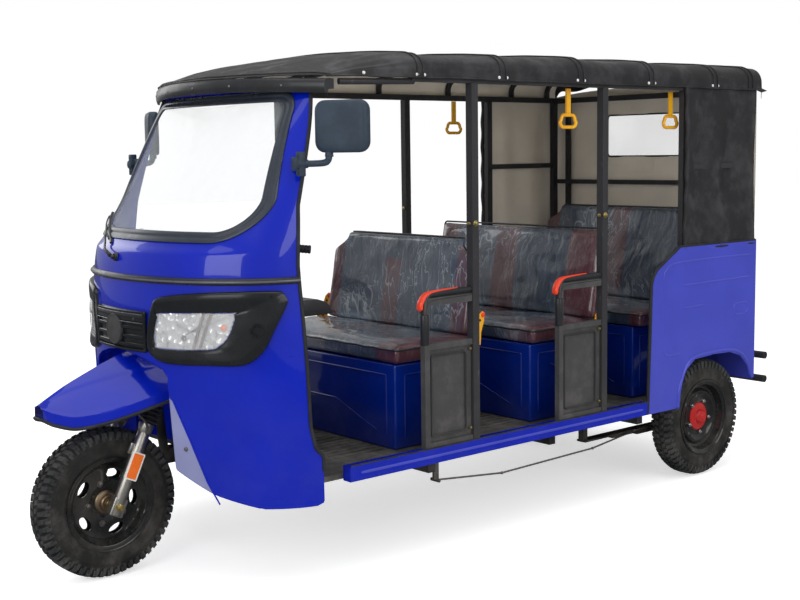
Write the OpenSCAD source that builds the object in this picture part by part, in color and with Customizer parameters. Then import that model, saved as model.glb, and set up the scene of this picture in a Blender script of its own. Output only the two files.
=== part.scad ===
// Three-wheeled passenger auto rickshaw with a single front wheel, three bench rows and a hooped canopy.
// Units are millimetres. +Z is up, the front wheel points along -Y, and the vehicle's left side is +X.
// Y stations in the tables are measured back from the front axle, and at_axle() moves them into the frame.

/* [Wheels] */
// Distance between the front and rear axles
wheelbase = 2665; // [2600:5:2720]
// Half of the distance between the rear wheels' centre planes
half_track = 555; // [540:5:560]
// Radius of each tyre
wheel_r = 265; // [255:1:270]
// Width of each tyre
tyre_w = 105; // [90:1:110]
// Radius at which the rim meets the tyre
rim_r = 160; // [150:1:170]

/* [Steering] */
// Lean of the fork and of the steering axis from upright, in degrees
rake = 25; // [22:1:27]
// Half of the distance between the two fork legs
fork_half = 95; // [92:1:105]
// Radius of a fork's lower leg
fork_leg_r = 21; // [17:1:22]
// Length of the steering stem from the axle to the handlebar clamp
stem_len = 930; // [900:5:950]

/* [Body] */
// Half of the body's width over the sills
body_half = 630; // [625:1:635]
// Thickness of the body's pressed panels
panel_t = 6; // [4:1:8]
// Height of the sills' underside
sill_z = 342; // [335:1:350]
// Height of the sills' top, where the posts stand
deck_z = 396; // [390:1:400]
// Height of the floor's walking surface
floor_z = 368; // [362:1:372]
// Distance from the front axle to the tail panel
tail_y = 3012; // [3000:1:3020]
// Height of the top of the rear tub
tub_z = 1052; // [1040:1:1060]

/* [Roof] */
// Width of the square tubes that make the posts and rails
post_w = 32; // [28:1:34]
// Height of the lower face of the side roof rails
rail_z = 1720; // [1715:1:1725]
// Height of the top of the canopy's crown
crown_z = 1872; // [1868:1:1880]
// Height of the canopy's lower hem
hem_z = 1734; // [1730:1:1738]
// Thickness of the canopy's padded skin
skin_t = 5; // [4:1:6]

/* [Seats] */
// Half of the width of each bench
bench_half = 500; // [480:5:510]
// Depth of a seat cushion from front to back
seat_depth = 430; // [400:5:440]
// Thickness of a seat cushion
seat_t = 72; // [60:1:80]

/* [Hidden] */
$fn = 48;

paint = [0.10, 0.14, 0.68];
trim = [0.09, 0.09, 0.10];
frame_grey = [0.17, 0.17, 0.18];
rubber = [0.06, 0.06, 0.06];
vinyl = [0.13, 0.13, 0.14];
seat_blue = [0.20, 0.25, 0.31];
hazard_yellow = [0.95, 0.75, 0.10];

// The front wheel is as far ahead of the frame's origin as the rear bumper is behind it.
bumper_y = 3178;
bumper_tube_r = 17;
front_axle_y = -(bumper_y + bumper_tube_r + wheel_r) / 2 + wheel_r;
post_x = body_half - 20;
roof_post_ys = [1222, 1952, 2494, 2980];
hoop_ys = [950, 1362, 1795, 2235, 2676, 2942];
visor_depth = 38;
bench_ys = [945, 1660, 2345];
bench_base_z = 692;
joint_gap = 0.5;
panel_gap = 3;

module at_axle() {
    translate([0, front_axle_y, 0]) children();
}

module both_sides() {
    children();
    mirror([1, 0, 0]) children();
}

// A box between two corners
module block(low, high) {
    translate(low) cube(high - low);
}

// A box with rounded vertical edges between two corners
module round_block(low, high, r) {
    size = high - low;
    translate([low.x, low.y, low.z])
        linear_extrude(size.z)
            polygon(rounded_rect(size.x, size.y, r));
}

// Outline of a rectangle from the origin with its corners rounded
function rounded_rect(w, h, r, n = 6) = [
    for (c = [[w - r, r, -90], [w - r, h - r, 0], [r, h - r, 90], [r, r, 180]])
        for (i = [0 : n])
            [c[0] + r * cos(c[2] + 90 * i / n), c[1] + r * sin(c[2] + 90 * i / n)]
];

// A round bar from one point to another
module bar(from, to, r) {
    d = to - from;
    len = norm(d);
    translate(from)
        rotate([0, acos(d.z / len), atan2(d.y, d.x)])
            cylinder(r = r, h = len);
}

// Solid through a stack of closed rings: each ring is an outer line followed by its inner line in reverse
module skin(rings) {
    n = len(rings[0]);
    m = len(rings);
    polyhedron(
        points = [for (ring = rings) each ring],
        faces = concat(
            [for (i = [0 : n / 2 - 2]) each [[i, i + 1, n - 2 - i], [i, n - 2 - i, n - 1 - i]]],
            [for (j = [0 : m - 2]) for (i = [0 : n - 1])
                each [[j * n + i, (j + 1) * n + i, (j + 1) * n + (i + 1) % n],
                      [j * n + i, (j + 1) * n + (i + 1) % n, j * n + (i + 1) % n]]],
            [for (i = [0 : n / 2 - 2]) let (k = (m - 1) * n)
                each [[k + i + 1, k + i, k + n - 2 - i], [k + n - 2 - i, k + i, k + n - 1 - i]]]
        ),
        convexity = 8
    );
}

// ---- Front body: each level is a superellipse in plan, widest where it meets the door opening. ----
// Each table pairs a height with the value there.
nose_front = [[285, 98], [700, 90], [900, 86], [1055, 100], [1140, 116], [1172, 150], [1690, 509], [1745, 540]];
nose_half = [[285, 628], [420, 626], [700, 612], [900, 592], [1055, 572], [1172, 562], [1745, 548]];
nose_back = [[285, 500], [1172, 500], [1745, 670]];
nose_power = [[285, 1.8], [1055, 2.1], [1745, 2.2]];
door_edge = [[285, 470], [296, 505], [330, 600], [342, 608], [396, 610], [440, 520], [480, 472], [560, 456], [1100, 456], [1300, 474], [1745, 596]];
nose_steps = 14;

function nose_edge_angle(z) =
    let (depth = lookup(z, nose_back) - lookup(z, nose_front))
    let (left = lookup(z, nose_back) - lookup(z, door_edge))
    left <= 0 ? 90 : acos(pow(left / depth, lookup(z, nose_power) / 2));

// Point on the nose at a height and an angle from the centreline, moved inwards by inset
function nose_point(z, angle, inset) =
    let (p = 2 / lookup(z, nose_power))
    let (half = lookup(z, nose_half) - inset)
    let (depth = lookup(z, nose_back) - lookup(z, nose_front) - inset)
    [half * sign(angle) * pow(sin(abs(angle)), p),
     lookup(z, nose_back) - depth * pow(max(0, cos(angle)), p), z];

// Half of the plan outline at a height has nose_steps points on each side, ending at the door opening
function nose_line(z, inset) =
    let (last = nose_edge_angle(z))
    let (edge = lookup(z, door_edge))
    let (half = lookup(z, nose_half) - inset)
    [for (i = [-nose_steps : nose_steps])
        last < 90 ? nose_point(z, last * i / nose_steps, inset)
        : abs(i) == nose_steps ? [sign(i) * half, edge, z]
        : nose_point(z, 90 * i / (nose_steps - 1), inset)];

function nose_ring(z, outer, inner) = concat(nose_line(z, outer), reverse(nose_line(z, inner)));
function reverse(list) = [for (i = [len(list) - 1 : -1 : 0]) list[i]];

module nose_skin(levels, outer, inner) {
    skin([for (z = levels) nose_ring(z, outer, inner)]);
}

// Part of the nose's surface between two angles at each height: rows are [height, first angle, last angle]
module nose_patch(rows, outer, inner, steps = 8) {
    skin([for (row = rows) concat(
        [for (i = [0 : steps]) nose_point(row[0], row[1] + (row[2] - row[1]) * i / steps, outer)],
        [for (i = [steps : -1 : 0]) nose_point(row[0], row[1] + (row[2] - row[1]) * i / steps, inner)]
    )]);
}

// Half-width of the wheel opening in the nose at each height: flared at the bottom and arched at the top
wheel_opening = [[286, 538], [330, 400], [404, 262], [720, 250], [748, 235], [774, 170], [794, 90], [803, 6]];
nose_levels = [286, 330, 342, 396, 404, 440, 480, 560, 640, 720, 748, 774, 794, 803];
nose_top_levels = [803.5, 850, 900, 980, 1050];

// One side of the nose below the grille, from the wheel opening round to the door opening
module nose_side() {
    skin([for (z = nose_levels)
        let (last = min(90, nose_edge_angle(z)))
        let (first = asin(pow(min(1, lookup(z, wheel_opening) / lookup(z, nose_half)), lookup(z, nose_power) / 2)))
        let (edge = lookup(z, door_edge))
        let (angles = [for (i = [0 : nose_steps]) first + (last - first) * i / nose_steps])
        let (outer_tip = nose_point(z, last, 0))
        let (inner_tip = nose_point(z, last, panel_t))
        let (end = max(edge, outer_tip.y + 5))
        concat(
            [for (a = angles) nose_point(z, a, 0)],
            [[outer_tip.x, end, z], [inner_tip.x, end, z]],
            [for (a = reverse(angles)) nose_point(z, a, panel_t)]
        )]);
}

module nose_shell() {
    color(paint) at_axle() {
        both_sides() nose_side();
        nose_skin(nose_top_levels, 0, panel_t);
    }
}

// Windscreen outline as seen from the front: bottom corner radius is larger than the top one
screen_half_top = 440;
screen_half_low = 489;
screen_low_z = 1199;
screen_top_z = 1668;
screen_low_r = 125;
screen_top_r = 56;
seal_w = 30;
function screen_outline(grow) = let (n = 5) [
    for (c = [[screen_half_low, screen_low_z, screen_low_r, 1, -90], [screen_half_top, screen_top_z, screen_top_r, -1, 0]])
        for (i = [0 : n])
            let (a = c[4] + 90 * i / n)
            [c[0] + grow - (c[2] + grow) + (c[2] + grow) * cos(a), c[1] - c[3] * grow + c[3] * (c[2] + grow) + (c[2] + grow) * sin(a)],
    for (c = [[screen_half_top, screen_top_z, screen_top_r, -1, 90], [screen_half_low, screen_low_z, screen_low_r, 1, 180]])
        for (i = [0 : n])
            let (a = c[4] + 90 * i / n)
            [-(c[0] + grow - (c[2] + grow)) + (c[2] + grow) * cos(a), c[1] - c[3] * grow + c[3] * (c[2] + grow) + (c[2] + grow) * sin(a)]
];
module screen_cut(grow) {
    translate([0, 660, 0]) rotate([90, 0, 0]) linear_extrude(760) polygon(screen_outline(grow));
}
cowl_levels = [1062, 1100, 1140, 1172, 1250, 1350, 1450, 1550, 1640, 1700];

module windscreen_cowl() {
    color(paint) at_axle() difference() {
        nose_skin(cowl_levels, 0, panel_t);
        screen_cut(seal_w);
    }
}

module windscreen_seal() {
    color(rubber) at_axle() difference() {
        intersection() {
            nose_skin(cowl_levels, -8, panel_t + 4);
            screen_cut(seal_w - joint_gap);
        }
        screen_cut(0);
    }
}

module windscreen() {
    color([0.75, 0.85, 0.85, 0.35]) at_axle() intersection() {
        nose_skin(cowl_levels, 0, 5);
        screen_cut(-joint_gap);
    }
}

module front_grille() {
    color(trim) at_axle() {
        nose_patch([[800, -15, 15], [806, -16.4, 16.4], [940, -16.4, 16.4], [947, -15.5, 15.5]], -14, -1.6 * panel_gap);
    }
}

// Rows of a lamp bezel's outline: [height, inner angle, outer angle]
bezel_rows = [
    [772, 26, 52], [777, 22.5, 55.5], [792, 19.2, 60], [821, 17.2, 64], [896, 17, 70.6],
    [965, 19, 76], [984, 20.8, 77.4], [1003, 24, 76.5], [1014, 28, 75], [1021, 36, 72.4]
];
lens_rows = [[821, 22.2, 40.5], [828, 20.8, 43.4], [844, 20.1, 47.7], [872, 20.1, 51.1], [925, 21.5, 54.1], [947, 23, 54.4], [955, 25.6, 53]];

module lamp_bezels() {
    color(trim) at_axle() both_sides() difference() {
        nose_patch(bezel_rows, -16, -panel_gap, 12);
        nose_patch(lens_rows, -40, 10);
    }
}

module headlamps() {
    color([0.85, 0.88, 0.9]) at_axle() both_sides()
        nose_patch([[824, 22.8, 40.1], [830, 21.5, 42.8], [845, 20.8, 47.1], [872, 20.8, 50.4], [924, 22.2, 53.4], [943, 23.6, 53.6], [952, 26, 52.4]], -10, -panel_gap);
}

mirror_centre = [634, 600, 1563];
module mirrors() {
    color([0.13, 0.16, 0.20]) at_axle() both_sides() {
        translate(mirror_centre) rotate([0, 0, 25]) translate([0, 22, 0]) rotate([90, 0, 0])
            linear_extrude(44) translate([-98, -88]) polygon(rounded_rect(196, 176, 34));
        block([566, 462, 1400], [592, 486, 1478]);
        bar([580, 474, 1440], [638, 560, 1444], 9);
        bar([638, 560, 1436], [634, 600, 1500], 9);
    }
}

module wiper() {
    color(trim) at_axle() {
        bar([-118, 100, 1128], [-118, 60, 1128], 10);
        bar([-118, 66, 1128], [-170, 190, 1250], 5);
        bar([-150, 120, 1215], [-205, 225, 1330], 6);
    }
}

module front_bulkhead() {
    color(frame_grey) at_axle() {
        block([-560, 440, floor_z], [560, 446, 898]);
    }
}

module dashboard() {
    color(trim) at_axle() difference() {
        round_block([-430, 452, 900], [430, 700, 962], 40);
        translate([0, 400, 890]) cylinder(r = 60, h = 90);
    }
}

// ---- Chassis ----
rail_x = 300;

module chassis_frame() {
    color(frame_grey) at_axle() {
        difference() {
            union() {
                for (s = [-1, 1]) {
                    block([s * rail_x - 30, 392, 282], [s * rail_x + 30, 2500, 340]);
                    block([s * rail_x - 30, 2500, 303], [s * rail_x + 30, 3060, 340]);
                    bar([s * 60, 236, 780], [s * 292, 412, 320], 18);
                }
                for (y = [470, 1000, 1650, 2310, 3020]) block([-rail_x, y, 303], [rail_x, y + 40, 338]);
                for (y = [1000, 1650, 2200]) block([-598, y, 300], [598, y + 34, 341]);
                on_fork() cylinder(r = 30, h = 210);
                block([-62, 215, 740], [62, 262, 800]);
            }
            on_fork(-40) cylinder(r = 17.6, h = 300);
        }
    }
}

// Places children on the steering axis, the given distance up from the head tube's foot
head_foot = 436;
module on_fork(up = 0) {
    translate([0, 0, wheel_r]) rotate([-rake, 0, 0]) translate([0, 0, head_foot + up]) children();
}

module floor_pan() {
    color([0.16, 0.16, 0.16]) at_axle() {
        block([-586, 448, sill_z + 6], [586, 2240, floor_z]);
        block([-470, 2240, sill_z + 6], [470, 3000, floor_z]);
    }
}

module side_sills() {
    color(paint) at_axle() both_sides()
        block([588, 612, sill_z], [body_half, 2232, deck_z]);
}

module side_frames() {
    color(frame_grey) at_axle() both_sides() {
        difference() {
            union() {
                for (y = [roof_post_ys[0], roof_post_ys[1]])
                    block([post_x - post_w / 2, y - post_w / 2, deck_z], [post_x + post_w / 2, y + post_w / 2, rail_z]);
                for (y = [roof_post_ys[2], roof_post_ys[3]])
                    block([post_x - post_w / 2 - 6, y - post_w / 2, 900], [post_x + post_w / 2 - 13, y + post_w / 2, rail_z]);
                block([post_x - post_w / 2 - 2, hoop_ys[0] - 20, rail_z], [post_x + post_w / 2 - 10, 3000, rail_z + 26]);
                bar([556, 650, 1716], [post_x - 6, hoop_ys[0] - 6, 1721], 11);
                block([post_x - 18, roof_post_ys[2], 1383], [post_x, roof_post_ys[3], 1407]);
            }
            for (y = [roof_post_ys[0], roof_post_ys[1]])
                translate([post_x, y - post_w, 1208]) rotate([-90, 0, 0]) cylinder(r = 5, h = 2 * post_w);
        }
    }
}

// Half-profile of the roof in the X-Z plane, from the hem up to the crown, moved inwards by inset
roof_half = 634;
roof_corner_r = 70;
roof_edge_z = 1842;
function roof_profile(inset, n = 5) =
    let (r = roof_corner_r)
    concat(
        [[roof_half - inset, hem_z], [roof_half - inset, roof_edge_z - r]],
        [for (i = [1 : n]) [roof_half - 14 - r + (r + 14 - inset) * cos(80 * i / n), roof_edge_z - r + (r - inset) * sin(80 * i / n)]],
        [for (i = [1 : n]) let (x = (roof_half - 14 - r + (r + 14 - inset) * cos(80)) * (1 - i / n))
            [x, crown_z - inset - (crown_z - (roof_edge_z - r + r * sin(80))) * pow(x / (roof_half - 14 - r + (r + 14) * cos(80)), 2)]]
    );
function mirror_line(line) = concat(line, [for (i = [len(line) - 2 : -1 : 0]) [-line[i].x, line[i].y]]);

// The roof falls slightly towards its first hoop.
function roof_drop(y) = lookup(y, [[950, 20], [1795, 0]]);

module roof_frame() {
    color(frame_grey) at_axle() {
        for (y = hoop_ys)
            translate([0, y + 9, -roof_drop(y)]) rotate([90, 0, 0]) linear_extrude(18) difference() {
                polygon(mirror_line(roof_profile(skin_t + 4)));
                polygon(mirror_line([for (p = roof_profile(skin_t + 24)) [p.x, p.y - 0.1]]));
                translate([-700, 1600]) square([1400, rail_z + 27 + roof_drop(y) - 1600]);
            }
        for (x = [-300, 0, 300]) {
            bar([x, hoop_ys[0], 1826], [x, 2988, 1847], 8);
            bar([x, hoop_ys[0], 1826], [x, visor_y(x) + 96, 1715], 8);
            translate([x, hoop_ys[0], 1826]) sphere(r = 11);
        }
        block([-500, 620, 1706], [500, 642, 1728]);
        block([-586, 2962, rail_z - 4], [586, 2980, rail_z + 22]);
    }
}

// Uprights and a rail behind the rear bench
module rear_wall_frame() {
    color(frame_grey) at_axle() {
        for (x = [-510, -282, 282, 510]) block([x - 11, 2982, tub_z], [x + 11, 3002, rail_z + 20]);
        block([-584, 2982, 1299], [584, 3002, 1321]);
    }
}

module roof_visor() {
    color(trim) at_axle()
        skin([for (row = [[0, 0], [1, 24]])
            concat(
                [for (i = [-10 : 10]) let (x = i * 56) [x, visor_y(x), 1716 + row[1] - 14 * pow(i / 10, 2)]],
                [for (i = [10 : -1 : -10]) let (x = i * 56) [x, visor_y(x) + visor_depth * (2 - pow(i / 10, 2)), 1716 + row[1] - 14 * pow(i / 10, 2)]]
            )]);
}
function visor_y(x) = 418 + 175 * pow(abs(x) / 560, 2.2);

// Half-ring of the canopy at a station between the visor (t = 0) and the first hoop (t = 1) or behind it
function canopy_line(t, inset) =
    let (k = min(1, t))
    let (station = hoop_ys[0] + (tail_y + 12 - hoop_ys[0]) * (t - 1))
    [for (p = mirror_line(roof_profile(inset)))
        let (x = p.x * (1 - 0.12 * pow(1 - k, 1.4)))
        let (rise = (p.y - hem_z) * (1 - roof_drop(t <= 1 ? hoop_ys[0] : station) / 138) * (0.05 + 0.95 * k))
        let (front = visor_y(x) + 6)
        [x, t <= 1 ? front * (1 - t) + hoop_ys[0] * t : station, hem_z + 6 * (1 - k) + rise]];

module canopy_roof() {
    color(vinyl) at_axle()
        skin([for (t = [0, 0.34, 0.68, 1, 1.42, 2]) concat(canopy_line(t, 0), reverse(canopy_line(t, skin_t)))]);
}

module side_curtains() {
    color(vinyl) at_axle() both_sides()
        block([618, 2478, 1030], [622, 3005, 1744]);
}

module rear_curtain() {
    color(vinyl) at_axle() difference() {
        block([-617, 3013, 1030], [617, 3018, 1785]);
        block([-270, 3000, 1432], [270, 3030, 1652]);
    }
}

module rear_window() {
    color([0.8, 0.85, 0.9, 0.4]) at_axle()
        block([-269, 3014, 1433], [269, 3017, 1651]);
}

// ---- Side guards: a framed panel beside each bench, with an armrest tube over it ----
guard_rows = [[968, 1206], [1682, 1936]];
module side_guards() {
    color([0.20, 0.20, 0.21]) at_axle() both_sides() for (row = guard_rows) {
        block([post_x - 3, row[0] + 24, deck_z + 20], [post_x + 3, row[1] - 0.5, 762]);
        block([post_x - 12, row[0], deck_z], [post_x + 12, row[0] + 24, 930]);
        block([post_x - 12, row[0], deck_z], [post_x + 12, row[1] - 0.5, deck_z + 22]);
        block([post_x - 12, row[0], 760], [post_x + 12, row[1] - 0.5, 782]);
        block([post_x - 12, row[0], 922], [post_x + 12, row[1] - 0.5, 950]);
    }
}

module armrest_pads() {
    color([0.95, 0.25, 0.15]) at_axle() both_sides() for (row = guard_rows)
        block([post_x - 14, row[0] - 6, 950.5], [post_x + 14, row[1] - 60, 966]);
}

// ---- Benches ----
bench_rows = [
    // [front of box, back of box, half width of box]
    [958, 1440, 462],
    [1672, 2150, 470],
    [2362, 2960, 440]
];
module seat_boxes() {
    color([0.08, 0.10, 0.50]) at_axle() for (row = bench_rows)
        difference() {
            round_block([-row[2], row[0], floor_z], [row[2], row[1], bench_base_z], 24);
            round_block([-row[2] + 4, row[0] + 4, floor_z - 1], [row[2] - 4, row[1] - 4, bench_base_z - 4], 20);
        }
}

module cushion(row) {
    color(seat_blue) at_axle() round_block(
        [-bench_half + (row == 0 ? 12 : 0), bench_ys[row], bench_base_z + 1],
        [bench_half - (row == 0 ? 12 : 0), bench_ys[row] + seat_depth, bench_base_z + seat_t], 20);
}
module cushion_front() { cushion(0); }
module cushion_middle() { cushion(1); }
module cushion_rear() { cushion(2); }

// Rows: [foot station, half width, height of top]
back_rows = [[1325, 452, 1142], [2010, 510, 1150], [2735, 500, 1205]];
back_t = 62;
back_lean = 11;
module backrest(row) {
    b = back_rows[row];
    h = (b[2] - bench_base_z - seat_t - 24) / cos(back_lean);
    color(seat_blue) at_axle() translate([0, b[0], bench_base_z + seat_t + 22]) rotate([-back_lean, 0, 0])
        translate([0, back_t, 0]) rotate([90, 0, 0]) linear_extrude(back_t) polygon(back_outline(b[1], h, row == 1 ? 0 : 100));
}
function back_outline(half, h, notch) = notch == 0
    ? [[-half, 0], [half, 0], [half, h - 14], [half - 14, h], [14 - half, h], [-half, h - 14]]
    : [[-half, 0], [half, 0], [half, h - notch], [half - 92, h - 14], [half - 106, h], [106 - half, h], [92 - half, h - 14], [-half, h - notch]];
module backrest_front() { backrest(0); }
module backrest_middle() { backrest(1); }
module backrest_rear() { backrest(2); }

module seat_brackets() {
    color(hazard_yellow) at_axle() both_sides() for (row = [0, 1])
        let (x = row == 0 ? 491 : 514, y = back_rows[row][0], z = bench_base_z + seat_t)
            block([x, y - 16, z - 40], [x + 6, y + 70, z + 90]);
}

// Hanging grips: [side, station]
grip_rows = [[1, 1800], [1, 2455], [-1, 2220]];
module hand_grips() {
    color(hazard_yellow) at_axle() for (row = grip_rows) translate([row[0] * 560, row[1], 0]) {
        block([-2, -11, 1618], [2, 11, 1716]);
        translate([0, 0, 1588]) difference() {
            translate([0, -52, -30]) rotate([90, 0, 90]) linear_extrude(14, center = true) polygon(rounded_rect(104, 60, 22));
            translate([0, -38, -16]) rotate([90, 0, 90]) linear_extrude(20, center = true) polygon(rounded_rect(76, 32, 14));
        }
    }
}

// ---- Rear tub ----
quarter_outline = [
    [2232, 342], [2252, 900], [2285, 960], [2440, 1052], [2480, tub_z], [tail_y, tub_z], [tail_y, 408],
    [2990, 410], [2960, 470], [2905, 522], [2820, 548], [2700, 552], [2560, 545], [2490, 500], [2452, 420], [2440, 342]
];
module quarter_panels() {
    color(paint) at_axle() both_sides() {
        translate([body_half - panel_t, 0, 0]) rotate([90, 0, 90]) linear_extrude(panel_t) polygon(quarter_outline);
    }
}

module tail_panel() {
    color(paint) at_axle() block([-623, tail_y - panel_t, 400], [623, tail_y, tub_z - 1]);
}

module tail_lamps() {
    color([0.8, 0.1, 0.1]) at_axle() both_sides()
        block([470, tail_y + 0.5, 700], [590, tail_y + 26, 860]);
}

// ---- Running gear ----
module rear_axle() {
    color(frame_grey) at_axle() translate([0, wheelbase, wheel_r]) {
        rotate([0, 90, 0]) cylinder(r = 32, h = 2 * half_track - 130, center = true);
        rotate([0, 90, 0]) cylinder(r = 14.5, h = 2 * half_track + 60, center = true);
        for (s = [-1, 1]) {
            translate([s * (half_track - 62), 0, 0]) rotate([0, 90, 0]) cylinder(r = 105, h = 8, center = true);
            for (leaf = [[0, 600], [1, 420], [2, 250]])
                block([s * 400 - 25, -leaf[1] / 1, -52 - 9 * leaf[0]], [s * 400 + 25, leaf[1] / 1 * (leaf[0] == 0 ? 0.6 : 1), -44 - 9 * leaf[0]]);
            block([s * 400 - 30, -50, -44], [s * 400 + 30, 50, -20]);
            block([s * 400 - 14, -602, -52], [s * 400 + 14, -574, 20]);
            block([s * 400 - 14, 332, -52], [s * 400 + 14, 360, 20]);
            block([s * 372 - 41, -602, 20], [s * 372 + 41, -574, 34]);
            block([s * 372 - 41, 332, 20], [s * 372 + 41, 360, 34]);
        }
    }
}

module drive_motor() {
    color([0.25, 0.25, 0.27]) at_axle() translate([0, wheelbase, wheel_r]) difference() {
        union() {
            rotate([0, 90, 0]) cylinder(r = 80, h = 200, center = true);
            block([-95, -285, -80], [95, -20, 34]);
        }
        rotate([0, 90, 0]) cylinder(r = 32.3, h = 400, center = true);
    }
}

module rear_bumper() {
    color(trim) at_axle() {
        for (z = [372, 486]) difference() {
            translate([0, bumper_y, z]) rotate([0, 90, 0]) cylinder(r = bumper_tube_r, h = 1160, center = true);
            translate([0, bumper_y, z]) rotate([0, 90, 0]) cylinder(r = 14, h = 1200, center = true);
        }
        for (s = [-1, 1]) {
            block([s * 300 - 15, bumper_y - 8, 372 + 15], [s * 300 + 15, bumper_y + 8, 486 - 15]);
            block([s * 300 - 15, 3062, 366], [s * 300 + 15, bumper_y - 15, 396]);
        }
    }
}

// Points along the brake rod, from the pedal lever back to the axle
brake_rod = [[579, 1052, 262], [579, 1400, 227], [556, 1960, 229], [478, 2330, 234], [470, 2560, 252]];
module brake_linkage() {
    color([0.35, 0.33, 0.30]) at_axle() {
        block([574, 1040, 266], [584, 1064, 341]);
        bar([556, 1052, 262], [600, 1052, 262], 6.5);
        for (i = [0 : 3]) bar(brake_rod[i], brake_rod[i + 1], 3.5);
        for (i = [1 : 4]) translate(brake_rod[i]) sphere(r = 6);
    }
}

module fork() {
    color([0.78, 0.79, 0.80]) at_axle() {
        on_fork(-head_foot) {
            for (s = [-1, 1]) {
                translate([s * fork_half, 0, -34]) cylinder(r = fork_leg_r, h = 340);
                translate([s * fork_half, 0, 306]) cylinder(r = 16, h = 110);
            }
            block([-125, -26, 400], [125, 26, 428]);
            translate([0, 0, 420]) cylinder(r = 16, h = stem_len - 420);
            translate([0, 0, 0]) rotate([0, 90, 0]) cylinder(r = 8, h = 2 * fork_half + 70, center = true);
        }
    }
}

// Rows of the front fender: [station, half width, top, edge, sweep of the rear edge]
fender_rows = [
    [-227, 26, 646, 610, 0],
    [-205, 58, 656, 590, 0],
    [-140, 96, 682, 578, 0.0008],
    [-40, 126, 732, 596, 0.0020],
    [40, 140, 770, 618, 0.0032],
    [82, 146, 788, 632, 0.0040]
];
function fender_ring(row, n = 8) = concat(
    [for (i = [-n : n]) fender_point(row, i / n, 0)],
    [for (i = [n : -1 : -n]) fender_point(row, i / n, 5)]
);
function fender_point(row, u, inset) =
    let (x = (row[1] - inset) * (abs(u) > 0.5 ? sign(u) * (1 - 0.10 * pow(2 - 2 * abs(u), 2)) : u * 1.8))
    let (z = abs(u) > 0.5
        ? row[3] + (row[2] - row[3]) * 0.62 * (2 - 2 * abs(u)) - (inset == 0 ? 0 : 0.2)
        : row[2] - inset - (row[2] - row[3]) * 0.38 * pow(2 * abs(u), 2.2))
    [x, row[0] + row[4] * x * x, z];

module front_fender() {
    color(paint) at_axle() skin([for (row = fender_rows) fender_ring(row)]);
}

module handlebar() {
    color(trim) at_axle() {
        on_fork(-head_foot) translate([0, 0, stem_len + 0.5]) cylinder(r = 24, h = 30);
        for (s = [-1, 1]) {
            bar([0, 405, 1122], [s * 210, 440, 1160], 11);
            bar([s * 210, 440, 1160], [s * 400, 640, 1136], 15);
        }
    }
}

// Tyre section turned about the wheel's own axis
module tyre(x) {
    translate([x, 0, 0]) rotate([0, 90, 0]) rotate_extrude($fn = 96) polygon([
        [rim_r + 0.3, -tyre_w * 0.40], [rim_r + 40, -tyre_w * 0.5], [wheel_r - 30, -tyre_w * 0.48], [wheel_r - 6, -tyre_w * 0.40],
        [wheel_r, -tyre_w * 0.22], [wheel_r, tyre_w * 0.22], [wheel_r - 6, tyre_w * 0.40], [wheel_r - 30, tyre_w * 0.48],
        [rim_r + 40, tyre_w * 0.5], [rim_r + 0.3, tyre_w * 0.40]]);
}

// Wheel disc with five oval windows; side is the direction that the face looks
module rim(x, side, bore) {
    translate([x, 0, 0]) rotate([0, 90, 0]) difference() {
        union() {
            rotate_extrude($fn = 96) polygon([
                [rim_r - 8, -46], [rim_r - 1, -46], [rim_r - 1, 46], [rim_r - 8, 46]]);
            translate([0, 0, side * 4 - 4]) cylinder(r = rim_r - 4, h = 8);
            translate([0, 0, -30]) cylinder(r = 46, h = 60);
        }
        for (k = [0 : 4]) rotate([0, 0, 72 * k + 36])
            translate([0, 104, -20]) cylinder(r = 20, h = 50);
        translate([0, 0, -80]) cylinder(r = bore, h = 160);
    }
}

module front_tyre() { color(rubber) at_axle() translate([0, 0, wheel_r]) tyre(0); }
module front_rim() { color(trim) at_axle() translate([0, 0, wheel_r]) rim(0, 1, 8.5); }
module rear_wheel_place(s) { at_axle() translate([s * half_track, wheelbase, wheel_r]) children(); }
module rear_tyre_left() { color(rubber) rear_wheel_place(1) tyre(0); }
module rear_tyre_right() { color(rubber) rear_wheel_place(-1) tyre(0); }
module rear_rim_left() { color(trim) rear_wheel_place(1) rim(0, 1, 15); }
module rear_rim_right() { color(trim) rear_wheel_place(-1) rim(0, -1, 15); }

chassis_frame();
floor_pan();
side_sills();
front_bulkhead();
dashboard();
nose_shell();
windscreen_cowl();
windscreen();
windscreen_seal();
front_grille();
lamp_bezels();
headlamps();
mirrors();
wiper();
side_frames();
roof_frame();
rear_wall_frame();
roof_visor();
canopy_roof();
side_curtains();
rear_curtain();
rear_window();
side_guards();
armrest_pads();
seat_boxes();
cushion_front();
cushion_middle();
cushion_rear();
backrest_front();
backrest_middle();
backrest_rear();
seat_brackets();
hand_grips();
quarter_panels();
tail_panel();
tail_lamps();
rear_axle();
drive_motor();
rear_bumper();
brake_linkage();
fork();
front_fender();
handlebar();
front_tyre();
front_rim();
rear_tyre_left();
rear_rim_left();
rear_tyre_right();
rear_rim_right();
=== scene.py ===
"""Visible pieces of a three-row passenger auto rickshaw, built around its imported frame. Lengths are in metres."""
import bpy
import bmesh
import math
from mathutils import Matrix, Vector, noise


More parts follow.
